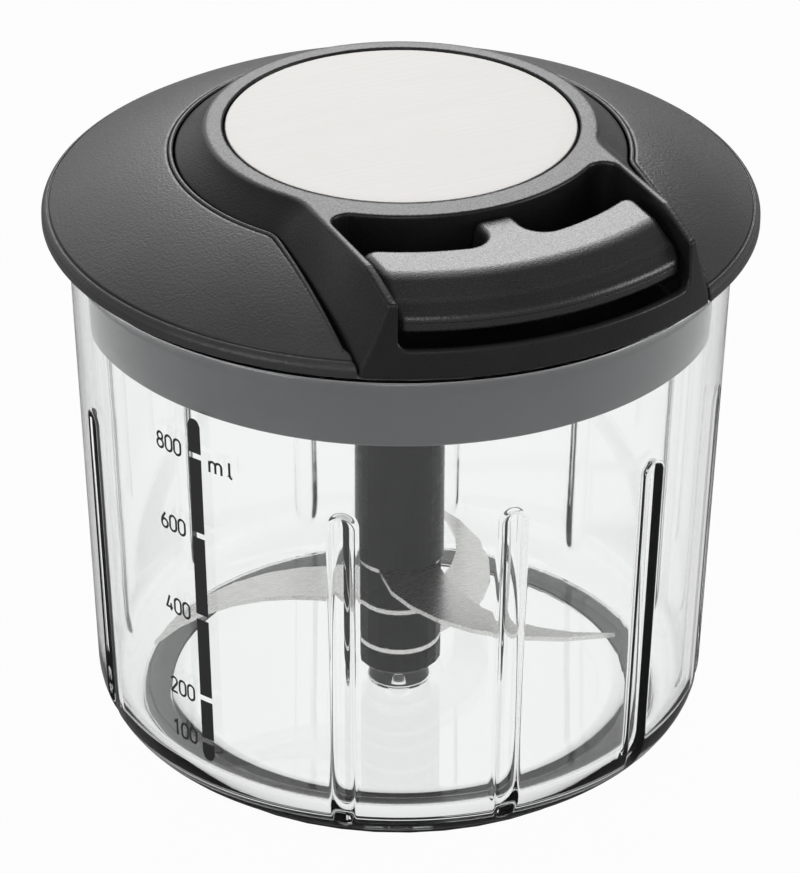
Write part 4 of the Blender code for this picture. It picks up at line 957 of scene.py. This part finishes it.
def ribbon(points, closed, width):
    """A flat stroke along points, mitred at its corners: (points, faces) of a strip."""
    path = [Vector(p) for p in points]
    count = len(path)
    left = []
    right = []
    for i, here in enumerate(path):
        before = path[i - 1] if closed or i > 0 else None
        after = path[(i + 1) % count] if closed or i < count - 1 else None
        first = (here - before).normalized() if before is not None else (after - here).normalized()
        second = (after - here).normalized() if after is not None else first
        bend = (first + second).normalized()
        side = Vector((-bend.y, bend.x))
        spread = width / 2 / max(0.35, side.dot(Vector((-first.y, first.x))))
        left.append(here + side * spread)
        right.append(here - side * spread)
    faces = []
    for i in range(count if closed else count - 1):
        j = (i + 1) % count
        faces.append((i, j, count + j, count + i))
    return left + right, faces


def build_scale():
    points = []
    faces = []

    def add(flat_points, flat_faces):
        start = len(points)
        points.extend(on_bowl(p[0], p[1]) for p in flat_points)
        faces.extend(tuple(start + k for k in face) for face in flat_faces)

    half = BAR_WIDTH / 2
    ends = [BAR_LOW_Z] + [z for z, _ in reversed(MARKS)] + [BAR_HIGH_Z]
    for i, (low, high) in enumerate(zip(ends, ends[1:])):
        low += 0 if i == 0 else MARK_GAP / 2
        high -= 0 if i == len(ends) - 2 else MARK_GAP / 2
        strip = []
        for k in range(BAR_ROWS + 1):
            for c in range(BAR_COLUMNS + 1):
                across = -half + BAR_WIDTH * c / BAR_COLUMNS
                rounding = half - sqrt(max(0, half * half - across * across))
                low_here = low + (rounding if i == 0 else 0)
                high_here = high - (rounding if i == len(ends) - 2 else 0)
                strip.append((across, low_here + (high_here - low_here) * k / BAR_ROWS))
        width = BAR_COLUMNS + 1
        corners = [k * width + c for k in range(BAR_ROWS) for c in range(BAR_COLUMNS)]
        add(strip, [(k, k + 1, k + width + 1, k + width) for k in corners])
    low_mark = MARKS[-1][0]
    texts = [("ml", UNIT_LEFT, UNIT_BASE_Z, UNIT_STRETCH)]
    for z, word in MARKS:
        climb = (z - low_mark) / (MARKS[0][0] - low_mark)
        left = WORD_LEFT[0] + WORD_LEFT[1] * climb
        texts.append((word, left, z + WORD_FOOT[0] + WORD_FOOT[1] * climb, DIGIT_STRETCH))
    for word, left, base, stretch in texts:
        wide = DIGIT_HEIGHT * stretch
        for letter in word:
            for stroke, closed in glyph(letter):
                placed = [(left + x * wide, base + y * DIGIT_HEIGHT) for x, y in stroke]
                add(*ribbon(placed, closed, STROKE))
            left += DIGIT_ADVANCE if letter != "m" else UNIT_ADVANCE * stretch
    finish(object_of("printed_scale", points, faces), INK, "bowl", "black_plastic")


build_scale()


# lid

def cover_height(radius):
    """The dome's height: it falls faster and faster from the tower to the brim."""
    share = (radius - FLANK_RADIUS) / (BRIM_RADIUS - FLANK_RADIUS)
    top = TOWER_TOP_Z - FLANK_DROP
    fall = COVER_STRAIGHTNESS * share + (1 - COVER_STRAIGHTNESS) * share * share
    return top - (top - BRIM_TOP_Z) * fall


def round_corner(radius, middle_x, fillet, ends, counts):
    """The Y of a fillet's middle that touches a circle round Z, and points along both."""
    middle_y = -sqrt((radius + fillet) ** 2 - middle_x * middle_x)
    meet = degrees(atan2(middle_y, middle_x))
    points = arc((0, 0), radius, ends[0], meet, counts[0])
    points += arc((middle_x, middle_y), fillet, 180 + meet, ends[1], counts[1])[1:]
    return middle_y, points


def mirrored(half):
    """A closed ring from its half towards +X, which starts and ends on the Y axis."""
    return half + [(-x, y) for x, y in reversed(half[1:-1])]


def housing_outline(tower, half_width, fillet, flare):
    """A round tower that runs into a block towards -Y and past the brim, as a closed ring."""
    middle_y, half = round_corner(tower, half_width + fillet, fillet, (90, 180), (120, 24))
    brim_y = -sqrt(BRIM_RADIUS**2 - (half_width + flare) ** 2)
    end_y = -BRIM_RADIUS - 8
    share = (end_y - middle_y) / (brim_y - middle_y)
    return mirrored(half + [(half_width + flare * share, end_y), (0, end_y)])


def bay_outline():
    """The handle bay seen from above, past the brim, as a closed ring."""
    middle_x = BAY_HALF_WIDTH - BAY_CORNER
    half = round_corner(BAY_BACK_RADIUS, middle_x, BAY_CORNER, (-90, 0), (60, 20))[1]
    return mirrored(half + [(BAY_HALF_WIDTH, -BRIM_RADIUS - 10), (0, -BRIM_RADIUS - 10)])


# low corner, high corner and step of the nets that keep distances in plan
PLAN_NET = ((-1.0, -74.0), (74.0, 74.0), 0.4)
HOUSING_STEP = 0.42
COVER_STEP = 0.4
COVER_STEP_DEG = 0.55
COVER_RISE_STEP = 0.3
BRIM_BAND = 2.4
BRIM_STEP = 0.13
BRIM_RISE_STEP = 0.12
HANDLE_STEP = 0.27
PARTING_STEP = 0.05
HANDLE_ROOM = 0.6
FLANK_OUTLINE = housing_outline(FLANK_RADIUS, FLANK_HALF_WIDTH, FLANK_FILLET, -FLANK_TAPER)
TOWER_OUTLINE = housing_outline(TOWER_TOP_RADIUS, WING_HALF_WIDTH, WING_FILLET, WING_FLARE)
FLANK_PLAN = Region(FLANK_OUTLINE, *PLAN_NET)
TOWER_PLAN = Region(TOWER_OUTLINE, *PLAN_NET)
BAY_PLAN = Region(bay_outline(), *PLAN_NET)


def tower_top(y):
    """The tower's top edge, which dips over the nose of each wing."""
    share = np.clip((-y - NOSE_START) / (NOSE_END - NOSE_START), 0, 1)
    return TOWER_TOP_Z - NOSE_DROP * share**NOSE_POWER


SCREW_BEARINGS = [360 / SCREW_COUNT * (i + 0.5) for i in range(SCREW_COUNT)]
SCREW_PLACES = [at_bearing(SCREW_CIRCLE, bearing, 0)[:2] for bearing in SCREW_BEARINGS]


def bore(u, v, radius, along, start, end):
    """A round hole along one axis between two heights on it."""
    return np.maximum(np.hypot(u, v) - radius, np.maximum(start - along, along - end))


def housing_field(x, y, z):
    out = np.hypot(x, y)
    side_x = np.abs(x)
    flank = FLANK_PLAN(side_x, y)
    tower = TOWER_PLAN(side_x, y)
    top = tower_top(y)
    brow = cover_height(out) - EDGE_ROUND
    rise = np.maximum(top - brow, 1.0)
    share = np.clip((z - brow) / rise, 0, 1)
    share = np.clip(share + FLANK_HOLLOW * 4 * share * (1 - share) / rise, 0, 1)
    steep = np.hypot(1, (tower - flank) / rise)
    side = (flank * (1 - share) + tower * share) / np.where(z > brow, steep, 1)
    body = round_cross(side, z - top, EDGE_ROUND)
    body = round_cross(body, out - BRIM_RADIUS, NOSE_ROUND)
    body = round_cross(body, BRIM_Z - z, BAY_EDGE_ROUND)
    ring = bore(x, y, CAVITY_RADIUS + HOUSING_WALL, z, HOUSING_FOOT_Z, BRIM_Z + 1)
    body = np.minimum(body, ring)
    boss_foot = HOUSING_FOOT_Z + SEAT_GAP
    for place_x, place_y in SCREW_PLACES:
        boss = bore(x - place_x, y - place_y, SCREW_BOSS_RADIUS, z, boss_foot, BRIM_Z + 1)
        body = np.minimum(body, boss)
    body = np.maximum(body, -bore(x, y, CAVITY_RADIUS, z, 0, CAVITY_TOP_Z))
    sill = round_cross(BRIM_RADIUS - BAY_SILL - out, z - BAY_SILL_Z, EDGE_ROUND)
    floor = round_join(z - BAY_SILL_Z + BAY_SINK, sill, SILL_FILLET)
    bay = round_cross(BAY_PLAN(side_x, y), -floor, BAY_BOTTOM_ROUND)
    body = round_cross(body, -bay, BAY_EDGE_ROUND)
    seat = bore(x, y, DISC_RADIUS + DISC_GAP, z, DISC_SEAT_Z, FAR)
    body = round_cross(body, -seat, SEAT_ROUND)
    axle_top = CAVITY_TOP_Z + AXLE_SUNK + SEAT_GAP
    body = np.maximum(body, -bore(x, y, AXLE_RADIUS + SEAT_GAP, z, 0, axle_top))
    ends = (CAVITY_RADIUS - 3, BAY_BACK_RADIUS + 3)
    body = np.maximum(body, -bore(x, z - CORD_EXIT_Z, EYELET_RADIUS + SEAT_GAP, -y, *ends))
    screw_top = BASE_FLOOR_UNDER_Z + SCREW_LENGTH + 1
    for place_x, place_y in SCREW_PLACES:
        shank = bore(x - place_x, y - place_y, SCREW_SHANK_RADIUS + SEAT_GAP, z, 0, screw_top)
        body = np.maximum(body, -shank)
    return body


def cover_field(x, y, z):
    out = np.hypot(x, y)
    top = (z - cover_height(out)) / COVER_STEEPNESS
    under = (z - cover_height(out + COVER_WALL / 2) + COVER_WALL) / COVER_STEEPNESS
    body = round_cross(top, out - BRIM_RADIUS, BRIM_ROUND / 2)
    groove = np.abs(out - BRIM_RADIUS + BRIM_GROOVE_INSET) - BRIM_GROOVE / 2
    groove = np.maximum(groove, -top - BRIM_GROOVE_DEPTH)
    body = round_cross(body, -groove, GROOVE_ROUND)
    channel = (2 * BEAD_RADIUS + BEAD_GAP) * np.clip((BEAD_END - out) / BEAD_FADE, 0, 1)
    opening = COVER_JOINT + channel - FLANK_PLAN(np.abs(x), y)
    body = round_cross(body, opening, JOINT_ROUND)
    body = round_cross(body, BRIM_Z - z, COVER_FOOT_ROUND)
    return np.maximum(body, -np.maximum(under, out - BRIM_RADIUS + COVER_WALL))


def collar_radius(z):
    return wall_radius(z) - BOWL_WALL - COLLAR_GAP


def build_base():
    """The lid's base: a collar that hangs inside the bowl's rim, a flange and a bearing."""
    bearing_out = BEARING_BORE + BEARING_WALL
    corners = [
        (BEARING_BORE, BASE_FLOOR_UNDER_Z, 0.2),
        (collar_radius(BASE_FLOOR_UNDER_Z) - COLLAR_WALL, BASE_FLOOR_UNDER_Z, 1.0),
        (collar_radius(COLLAR_BOTTOM_Z) - COLLAR_WALL, COLLAR_BOTTOM_Z, 0.4),
        (collar_radius(COLLAR_BOTTOM_Z), COLLAR_BOTTOM_Z, 0.8),
        (collar_radius(FLANGE_Z), FLANGE_Z, 0.5),
        (FLANGE_RADIUS, FLANGE_Z, 0.5),
        (FLANGE_RADIUS, FLANGE_TOP_Z, 0.4),
        (collar_radius(FLANGE_Z) - COLLAR_WALL, FLANGE_TOP_Z, 0.3),
        (collar_radius(BASE_FLOOR_Z) - COLLAR_WALL, BASE_FLOOR_Z, 1.0),
        (bearing_out, BASE_FLOOR_Z, 0.5),
        (bearing_out, BEARING_TOP_Z, 0.25),
        (BEARING_BORE, BEARING_TOP_Z, 0.25),
    ]
    base = turned("lid_base_shell", soft_profile(corners), 240)
    for x, y in SCREW_PLACES:
        low = (x, y, BASE_FLOOR_UNDER_Z - 1)
        high = (x, y, BASE_FLOOR_Z + 1)
        cut(base, rod("screw_clearance", SCREW_SHANK_RADIUS + SEAT_GAP, low, high))
    smooth(base, 35)
    finish(base, GREY, "lid", "grey_plastic", "lid_base")


def build_housing():
    reach = BRIM_RADIUS + 1
    low = (-reach, -reach, HOUSING_FOOT_Z - 1)
    high = (reach, reach, TOWER_TOP_Z + 1)
    housing = boxed("lid_housing", housing_field, low, high, HOUSING_STEP)
    finish(housing, BLACK, "lid", "charcoal_plastic", "tower_housing")


def build_cover():
    inner = FLANK_RADIUS - 0.5
    fine = BRIM_RADIUS - BRIM_BAND
    radii = [np.arange(inner, fine, COVER_STEP), steps(fine, BRIM_RADIUS + 0.5, BRIM_STEP)]
    angles = np.radians(np.arange(-90, 270.1, COVER_STEP_DEG))
    edge_z = BRIM_TOP_Z - 0.9
    above_z = edge_z + BRIM_BAND
    heights = [np.arange(BRIM_Z - 0.5, edge_z, COVER_RISE_STEP)]
    heights.append(np.arange(edge_z, above_z, BRIM_RISE_STEP))
    heights.append(steps(above_z, TOWER_TOP_Z - FLANK_DROP + 1, COVER_RISE_STEP))
    axes = (np.concatenate(radii), angles, np.concatenate(heights))
    cover = solid_of("dome_cover", cover_field, axes, polar)
    finish(cover, CHARCOAL, "lid", "charcoal_plastic", "lid_cover")


def build_bead():
    """The cover's narrow raised edge along its joint with the housing."""
    reach = COVER_JOINT + BEAD_RADIUS
    outline = housing_outline(
        FLANK_RADIUS + reach, FLANK_HALF_WIDTH + reach, FLANK_FILLET - reach, -FLANK_TAPER
    )
    inside = [p for p in outline if hypot(*p) < BEAD_END]
    start = next(i for i, p in enumerate(inside) if p[0] < 0 and p[1] < 0)
    path = inside[start:] + inside[:start]
    first, last = ((x, -sqrt(BEAD_END**2 - x * x)) for x, y in (path[0], path[-1]))
    path = [first] + path + [last]
    points = []
    for (a, b), (c, d) in zip(path, path[1:]):
        count = max(1, round(hypot(c - a, d - b) / BEAD_STEP))
        points += [(a + (c - a) * k / count, b + (d - b) * k / count) for k in range(count)]
    points.append(path[-1])
    line = [(x, y, cover_height(hypot(x, y)) - BEAD_RADIUS + BEAD_RISE) for x, y in points]
    finish(tube("cover_bead", line, BEAD_RADIUS, 16), CHARCOAL, "lid", "charcoal_plastic")


def build_disc():
    top = DISC_Z + DISC_THICKNESS
    corners = [
        (0, DISC_Z, 0),
        (DISC_RADIUS, DISC_Z, 0.1),
        (DISC_RADIUS, top, 0.32),
        (DISC_RADIUS - 3, top, 0),
        (0, top, 0),
    ]
    disc = smooth(turned("brushed_disc", soft_profile(corners)), 40)
    finish(disc, DISC_STEEL, "lid", "disc_steel", "steel_disc")


build_base()
build_housing()
build_cover()
build_bead()
build_disc()


# handle

def bar_field(out, z):
    """The bar's section: a flat top, a slope that steepens to a crease, and a rolled lip below."""
    wall = LIP_RADIUS - LIP_STEP
    fall = HANDLE_TOP_Z - LIP_TOP_Z
    run = wall - BAR_BEND_RADIUS
    slope = ((out - BAR_BEND_RADIUS) * fall + (z - HANDLE_TOP_Z) * run) / hypot(fall, run)
    body = round_cross(slope, z - HANDLE_TOP_Z, BAR_BEND)
    body = round_cross(body, out - wall, LIP_ROUND)
    lean = LIP_DIP + np.maximum(out - wall, -LIP_REACH) * LIP_LEAN
    lip_top = (z - LIP_TOP_Z + lean) / hypot(1, LIP_LEAN)
    lip = round_cross(out - LIP_RADIUS, lip_top, LIP_ROUND)
    section = round_join(body, lip, CREASE_ROUND)
    return round_cross(section, HANDLE_BOTTOM_Z - z, LIP_ROUND)


def handle_field(x, y, z):
    out = np.hypot(x, y)
    side_x = np.abs(x)
    lean = HANDLE_DRAFT * np.clip((z - LIP_TOP_Z) / (HANDLE_TOP_Z - LIP_TOP_Z), 0, 1)
    bar = round_cross(side_x - HANDLE_HALF_WIDTH + lean, BAR_BACK_RADIUS - out, BAR_CORNER)
    depth = (HANDLE_TOP_Z - z) / (HANDLE_TOP_Z - HANDLE_BOTTOM_Z)
    stem_side = side_x - STEM_HALF_WIDTH - STEM_DRAFT * depth
    stem = round_cross(stem_side, y + BAY_BACK_RADIUS + STEM_GAP, STEM_CORNER)
    stem = np.maximum(stem, -y - BAR_BACK_RADIUS - 4)
    plan = round_join(bar, stem, STEM_FILLET)
    edge = HANDLE_ROUND + LIP_END_ROUND * np.clip((LIP_TOP_Z - z) / 2, 0, 1)
    body = round_cross(plan, bar_field(out, z), edge)
    screw = (side_x - HANDLE_SCREW_X, y - HANDLE_SCREW_Y)
    hole = bore(*screw, HANDLE_SCREW_RADIUS, z, 0, HANDLE_HOLE_TOP_Z)
    head = bore(*screw, HANDLE_HEAD_RADIUS, z, 0, HANDLE_BOTTOM_Z + HANDLE_HEAD_ROOM)
    return np.maximum(body, -np.minimum(hole, head))


def shell_field(side):
    """The field of one shell: side is 1 above the handle's parting plane and -1 below."""
    def field(x, y, z):
        beyond = PARTING_GAP / 2 - side * (z - CORD_EXIT_Z)
        return round_cross(handle_field(x, y, z), beyond, PARTING_ROUND)
    return field


def build_handle():
    reach = HANDLE_HALF_WIDTH + HANDLE_ROOM
    low_y = -LIP_RADIUS - HANDLE_ROOM
    across = steps(-reach, reach, HANDLE_STEP)
    along = steps(low_y, -BAY_BACK_RADIUS + HANDLE_ROOM / 2, HANDLE_STEP)
    parting = np.arange(-0.3, 0.4, PARTING_STEP)
    shells = (
        ("handle_shell_upper", "handle_upper", 1, HANDLE_TOP_Z - CORD_EXIT_Z),
        ("handle_shell_lower", "handle_lower", -1, CORD_EXIT_Z - HANDLE_BOTTOM_Z),
    )
    for name, replaced, side, depth in shells:
        away = np.concatenate([parting, steps(0.4, depth + HANDLE_ROOM, HANDLE_STEP)])
        axes = (across, along, (CORD_EXIT_Z + side * away)[::side])
        shell = solid_of(name, shell_field(side), axes)
        finish(shell, HANDLE_BLACK, "handle", "black_plastic", replaced)


build_handle()


# cord

def cord_exit():
    """Where the free run leaves the winding: the tangent point towards the eyelet."""
    lead = degrees(acos(WINDING_RADIUS / CORD_BEND))
    return at_bearing(WINDING_RADIUS, lead, CORD_EXIT_Z)


def build_cord():
    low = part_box("cord_winding")[0].z / MM + CORD_RADIUS
    turns = (CORD_EXIT_Z - low) / CORD_PITCH
    exit_place = cord_exit()
    end_turn = atan2(exit_place[1], exit_place[0])
    count = ceil(turns * WINDING_PARTS)
    points = []
    for i in range(count + 1):
        back = turns * (count - i) / count
        x, y = polar(WINDING_RADIUS, end_turn + tau * back, 0)[:2]
        points.append((x, y, CORD_EXIT_Z - CORD_PITCH * back))
    winding = tube("cord_turns", points, CORD_RADIUS, CORD_SIDES)
    finish(winding, CORD, "reel", "cord", "cord_winding")
    start = Vector(exit_place)
    bend = Vector((0, -CORD_BEND, CORD_EXIT_Z))
    along = (bend - start).normalized()
    length = (bend - start).length
    run = [start + along * (RUN_LEAD + length * share) for share in (0, 0.25, 0.5, 0.75)]
    turn_out = bend + Vector((0, -BEND_OUT, 0))
    run += bent(bend - along * BEND_IN, bend, turn_out, 6)
    end_y = KNOT_Y + KNOT_REACH
    run += [Vector((0, y, CORD_EXIT_Z)) for y in np.linspace(turn_out.y, end_y, 9)[1:]]
    line = tube("cord_run", run, CORD_RADIUS, CORD_SIDES)
    line.data.materials.append(CORD)
    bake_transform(line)
    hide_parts("pull_cord")


build_cord()


# materials of the CAD nodes that stay

dress(SILICONE, "rim_gasket")
dress(RUBBER, "antislip_ring")
dress(INSERT_BLACK, "insert_foot", "insert_spacer_lower", "insert_spacer_upper", "insert_shaft")
dress(INSERT_BLACK, "spring_arbor")
dress(BLACK, "pawl_1", "pawl_2")
dress(BLADE_STEEL, "blade_lower", "blade_middle", "blade_upper")
dress(NYLON, "cord_reel", "spring_cup", "drive_hub")
dress(PLAIN_STEEL, "pivot_pin", "reel_axle", "reel_spring", "hub_clip", "cord_eyelet", "cord_knot")
dress(PLAIN_STEEL, "lid_screw_1", "lid_screw_2", "lid_screw_3", "lid_screw_4")
dress(PLAIN_STEEL, "handle_screw_1", "handle_screw_2")


# floor, backdrop and light

FLOOR_REACH = 6000.0
FLOOR_GAP = 0.02
FLOOR_GLOW = 0.97


def make_floor():
    """A floor that glows where it is looked at, and takes the part's shadow."""
    corners = ((-1, -1), (1, -1), (1, 1), (-1, 1))
    points = [(x * FLOOR_REACH, y * FLOOR_REACH, -FLOOR_GAP) for x, y in corners]
    floor = object_of("studio_floor", points, [(0, 1, 2, 3)])
    paint = Paint("studio_floor", (0.3, 0.3, 0.3), 0.9, Specular_IOR_Level=0.0)
    glow = paint.node("Emission")
    paint.put(glow.inputs["Strength"], 1.0)
    path = paint.node("LightPath").outputs
    seen = paint.math("MAXIMUM", path["Is Camera Ray"], path["Is Transmission Ray"])
    mix = paint.node("MixShader")
    paint.put(mix.inputs[0], paint.math("MULTIPLY", seen, FLOOR_GLOW))
    paint.put(mix.inputs[1], paint.shader.outputs[0])
    paint.put(mix.inputs[2], glow.outputs[0])
    paint.put(paint.tree.nodes["Material Output"].inputs["Surface"], mix.outputs[0])
    floor.data.materials.append(paint.material)


# what the surfaces mirror: (sine of the elevation, level behind, level in front)
SKY = (
    (-1.0, 0.9, 0.7),
    (0.0, 0.85, 0.7),
    (0.22, 0.34, 0.4),
    (0.5, 0.22, 0.22),
    (1.0, 0.12, 0.12),
)
BACK_DIRECTION = (0.42, 0.907, 0.0)
BACK_FADE = (-0.3, 0.7)
# soft windows around the part: (azimuth from +Y, elevation, inner and outer radius in degrees, level)
WINDOWS = (
    (25.0, 31.0, 6.0, 19.0, 4.0),
    (10.0, 40.0, 12.0, 38.0, 1.2),
    (-155.0, 24.0, 4.0, 13.0, 3.0),
    (-108.0, 8.0, 6.0, 20.0, 2.6),
    (122.0, 8.0, 6.0, 20.0, 3.3),
)
# the least that clear plastic shows of the studio
SEEN_THROUGH_LOW = 0.42
LAMP_SIZE = 1.6
LAMP_WATTS = 16
LAMP_PLACE = (0.1, 0.1, 1.8)


def sky_ramp(nodes, height, column):
    """A level by elevation, between the rows of SKY."""
    ramp = nodes.node("ValToRGB")
    ramp.color_ramp.interpolation = "EASE"
    elements = ramp.color_ramp.elements
    for row in SKY[1:-1]:
        elements.new((row[0] + 1) / 2)
    for element, row in zip(elements, SKY):
        element.color = (row[column], row[column], row[column], 1)
    nodes.put(ramp.inputs["Fac"], height)
    return ramp.outputs["Color"]


def towards(nodes, place, direction, low, high, level):
    """A level that rises softly with how closely a direction follows another."""
    facing = nodes.node("VectorMath", operation="DOT_PRODUCT")
    nodes.put(facing.inputs[0], place)
    nodes.put(facing.inputs[1], direction)
    return nodes.ranged(facing.outputs["Value"], low, high, 0.0, level, "SMOOTHSTEP")


def make_world():
    """White where the camera looks, a studio for the rest, and a lighter one through clear plastic."""
    world = bpy.data.worlds.new("studio")
    bpy.context.scene.world = world
    world.use_nodes = True
    nodes = Nodes(world.node_tree)
    place = nodes.node("TexCoord").outputs["Generated"]
    split = nodes.node("SeparateXYZ")
    nodes.put(split.inputs[0], place)
    height = nodes.ranged(split.outputs["Z"], -1.0, 1.0, 0.0, 1.0)
    behind = towards(nodes, place, BACK_DIRECTION, *BACK_FADE, 1.0)
    total = nodes.mixed(behind, sky_ramp(nodes, height, 2), sky_ramp(nodes, height, 1))
    for azimuth, elevation, inner, outer, level in WINDOWS:
        flat = cos(radians(elevation))
        aim = (sin(radians(azimuth)) * flat, cos(radians(azimuth)) * flat, sin(radians(elevation)))
        glow = towards(nodes, place, aim, cos(radians(outer)), cos(radians(inner)), level)
        total = nodes.math("ADD", total, glow)
    capped = nodes.math("MINIMUM", total, 1.0)
    path = nodes.node("LightPath").outputs
    through = nodes.ranged(capped, 0.0, 1.0, SEEN_THROUGH_LOW, 1.0)
    level = nodes.mixed(path["Is Transmission Ray"], total, through, "FLOAT")
    background = world.node_tree.nodes["Background"].inputs
    nodes.put(background["Color"], (1, 1, 1))
    nodes.put(background["Strength"], nodes.mixed(path["Is Camera Ray"], level, 1.0, "FLOAT"))


def make_lamp():
    """A broad soft light overhead, which nothing mirrors."""
    data = bpy.data.lights.new("top_fill", "AREA")
    data.size = LAMP_SIZE
    data.energy = LAMP_WATTS
    lamp = link(data, "top_fill")
    lamp.location = LAMP_PLACE
    lamp.rotation_mode = "QUATERNION"
    lamp.rotation_quaternion = (-lamp.location).to_track_quat("-Z", "Y")
    lamp.visible_camera = False
    lamp.visible_glossy = False


make_floor()
make_world()
make_lamp()

view_settings = bpy.context.scene.view_settings
view_settings.view_transform = "Standard"
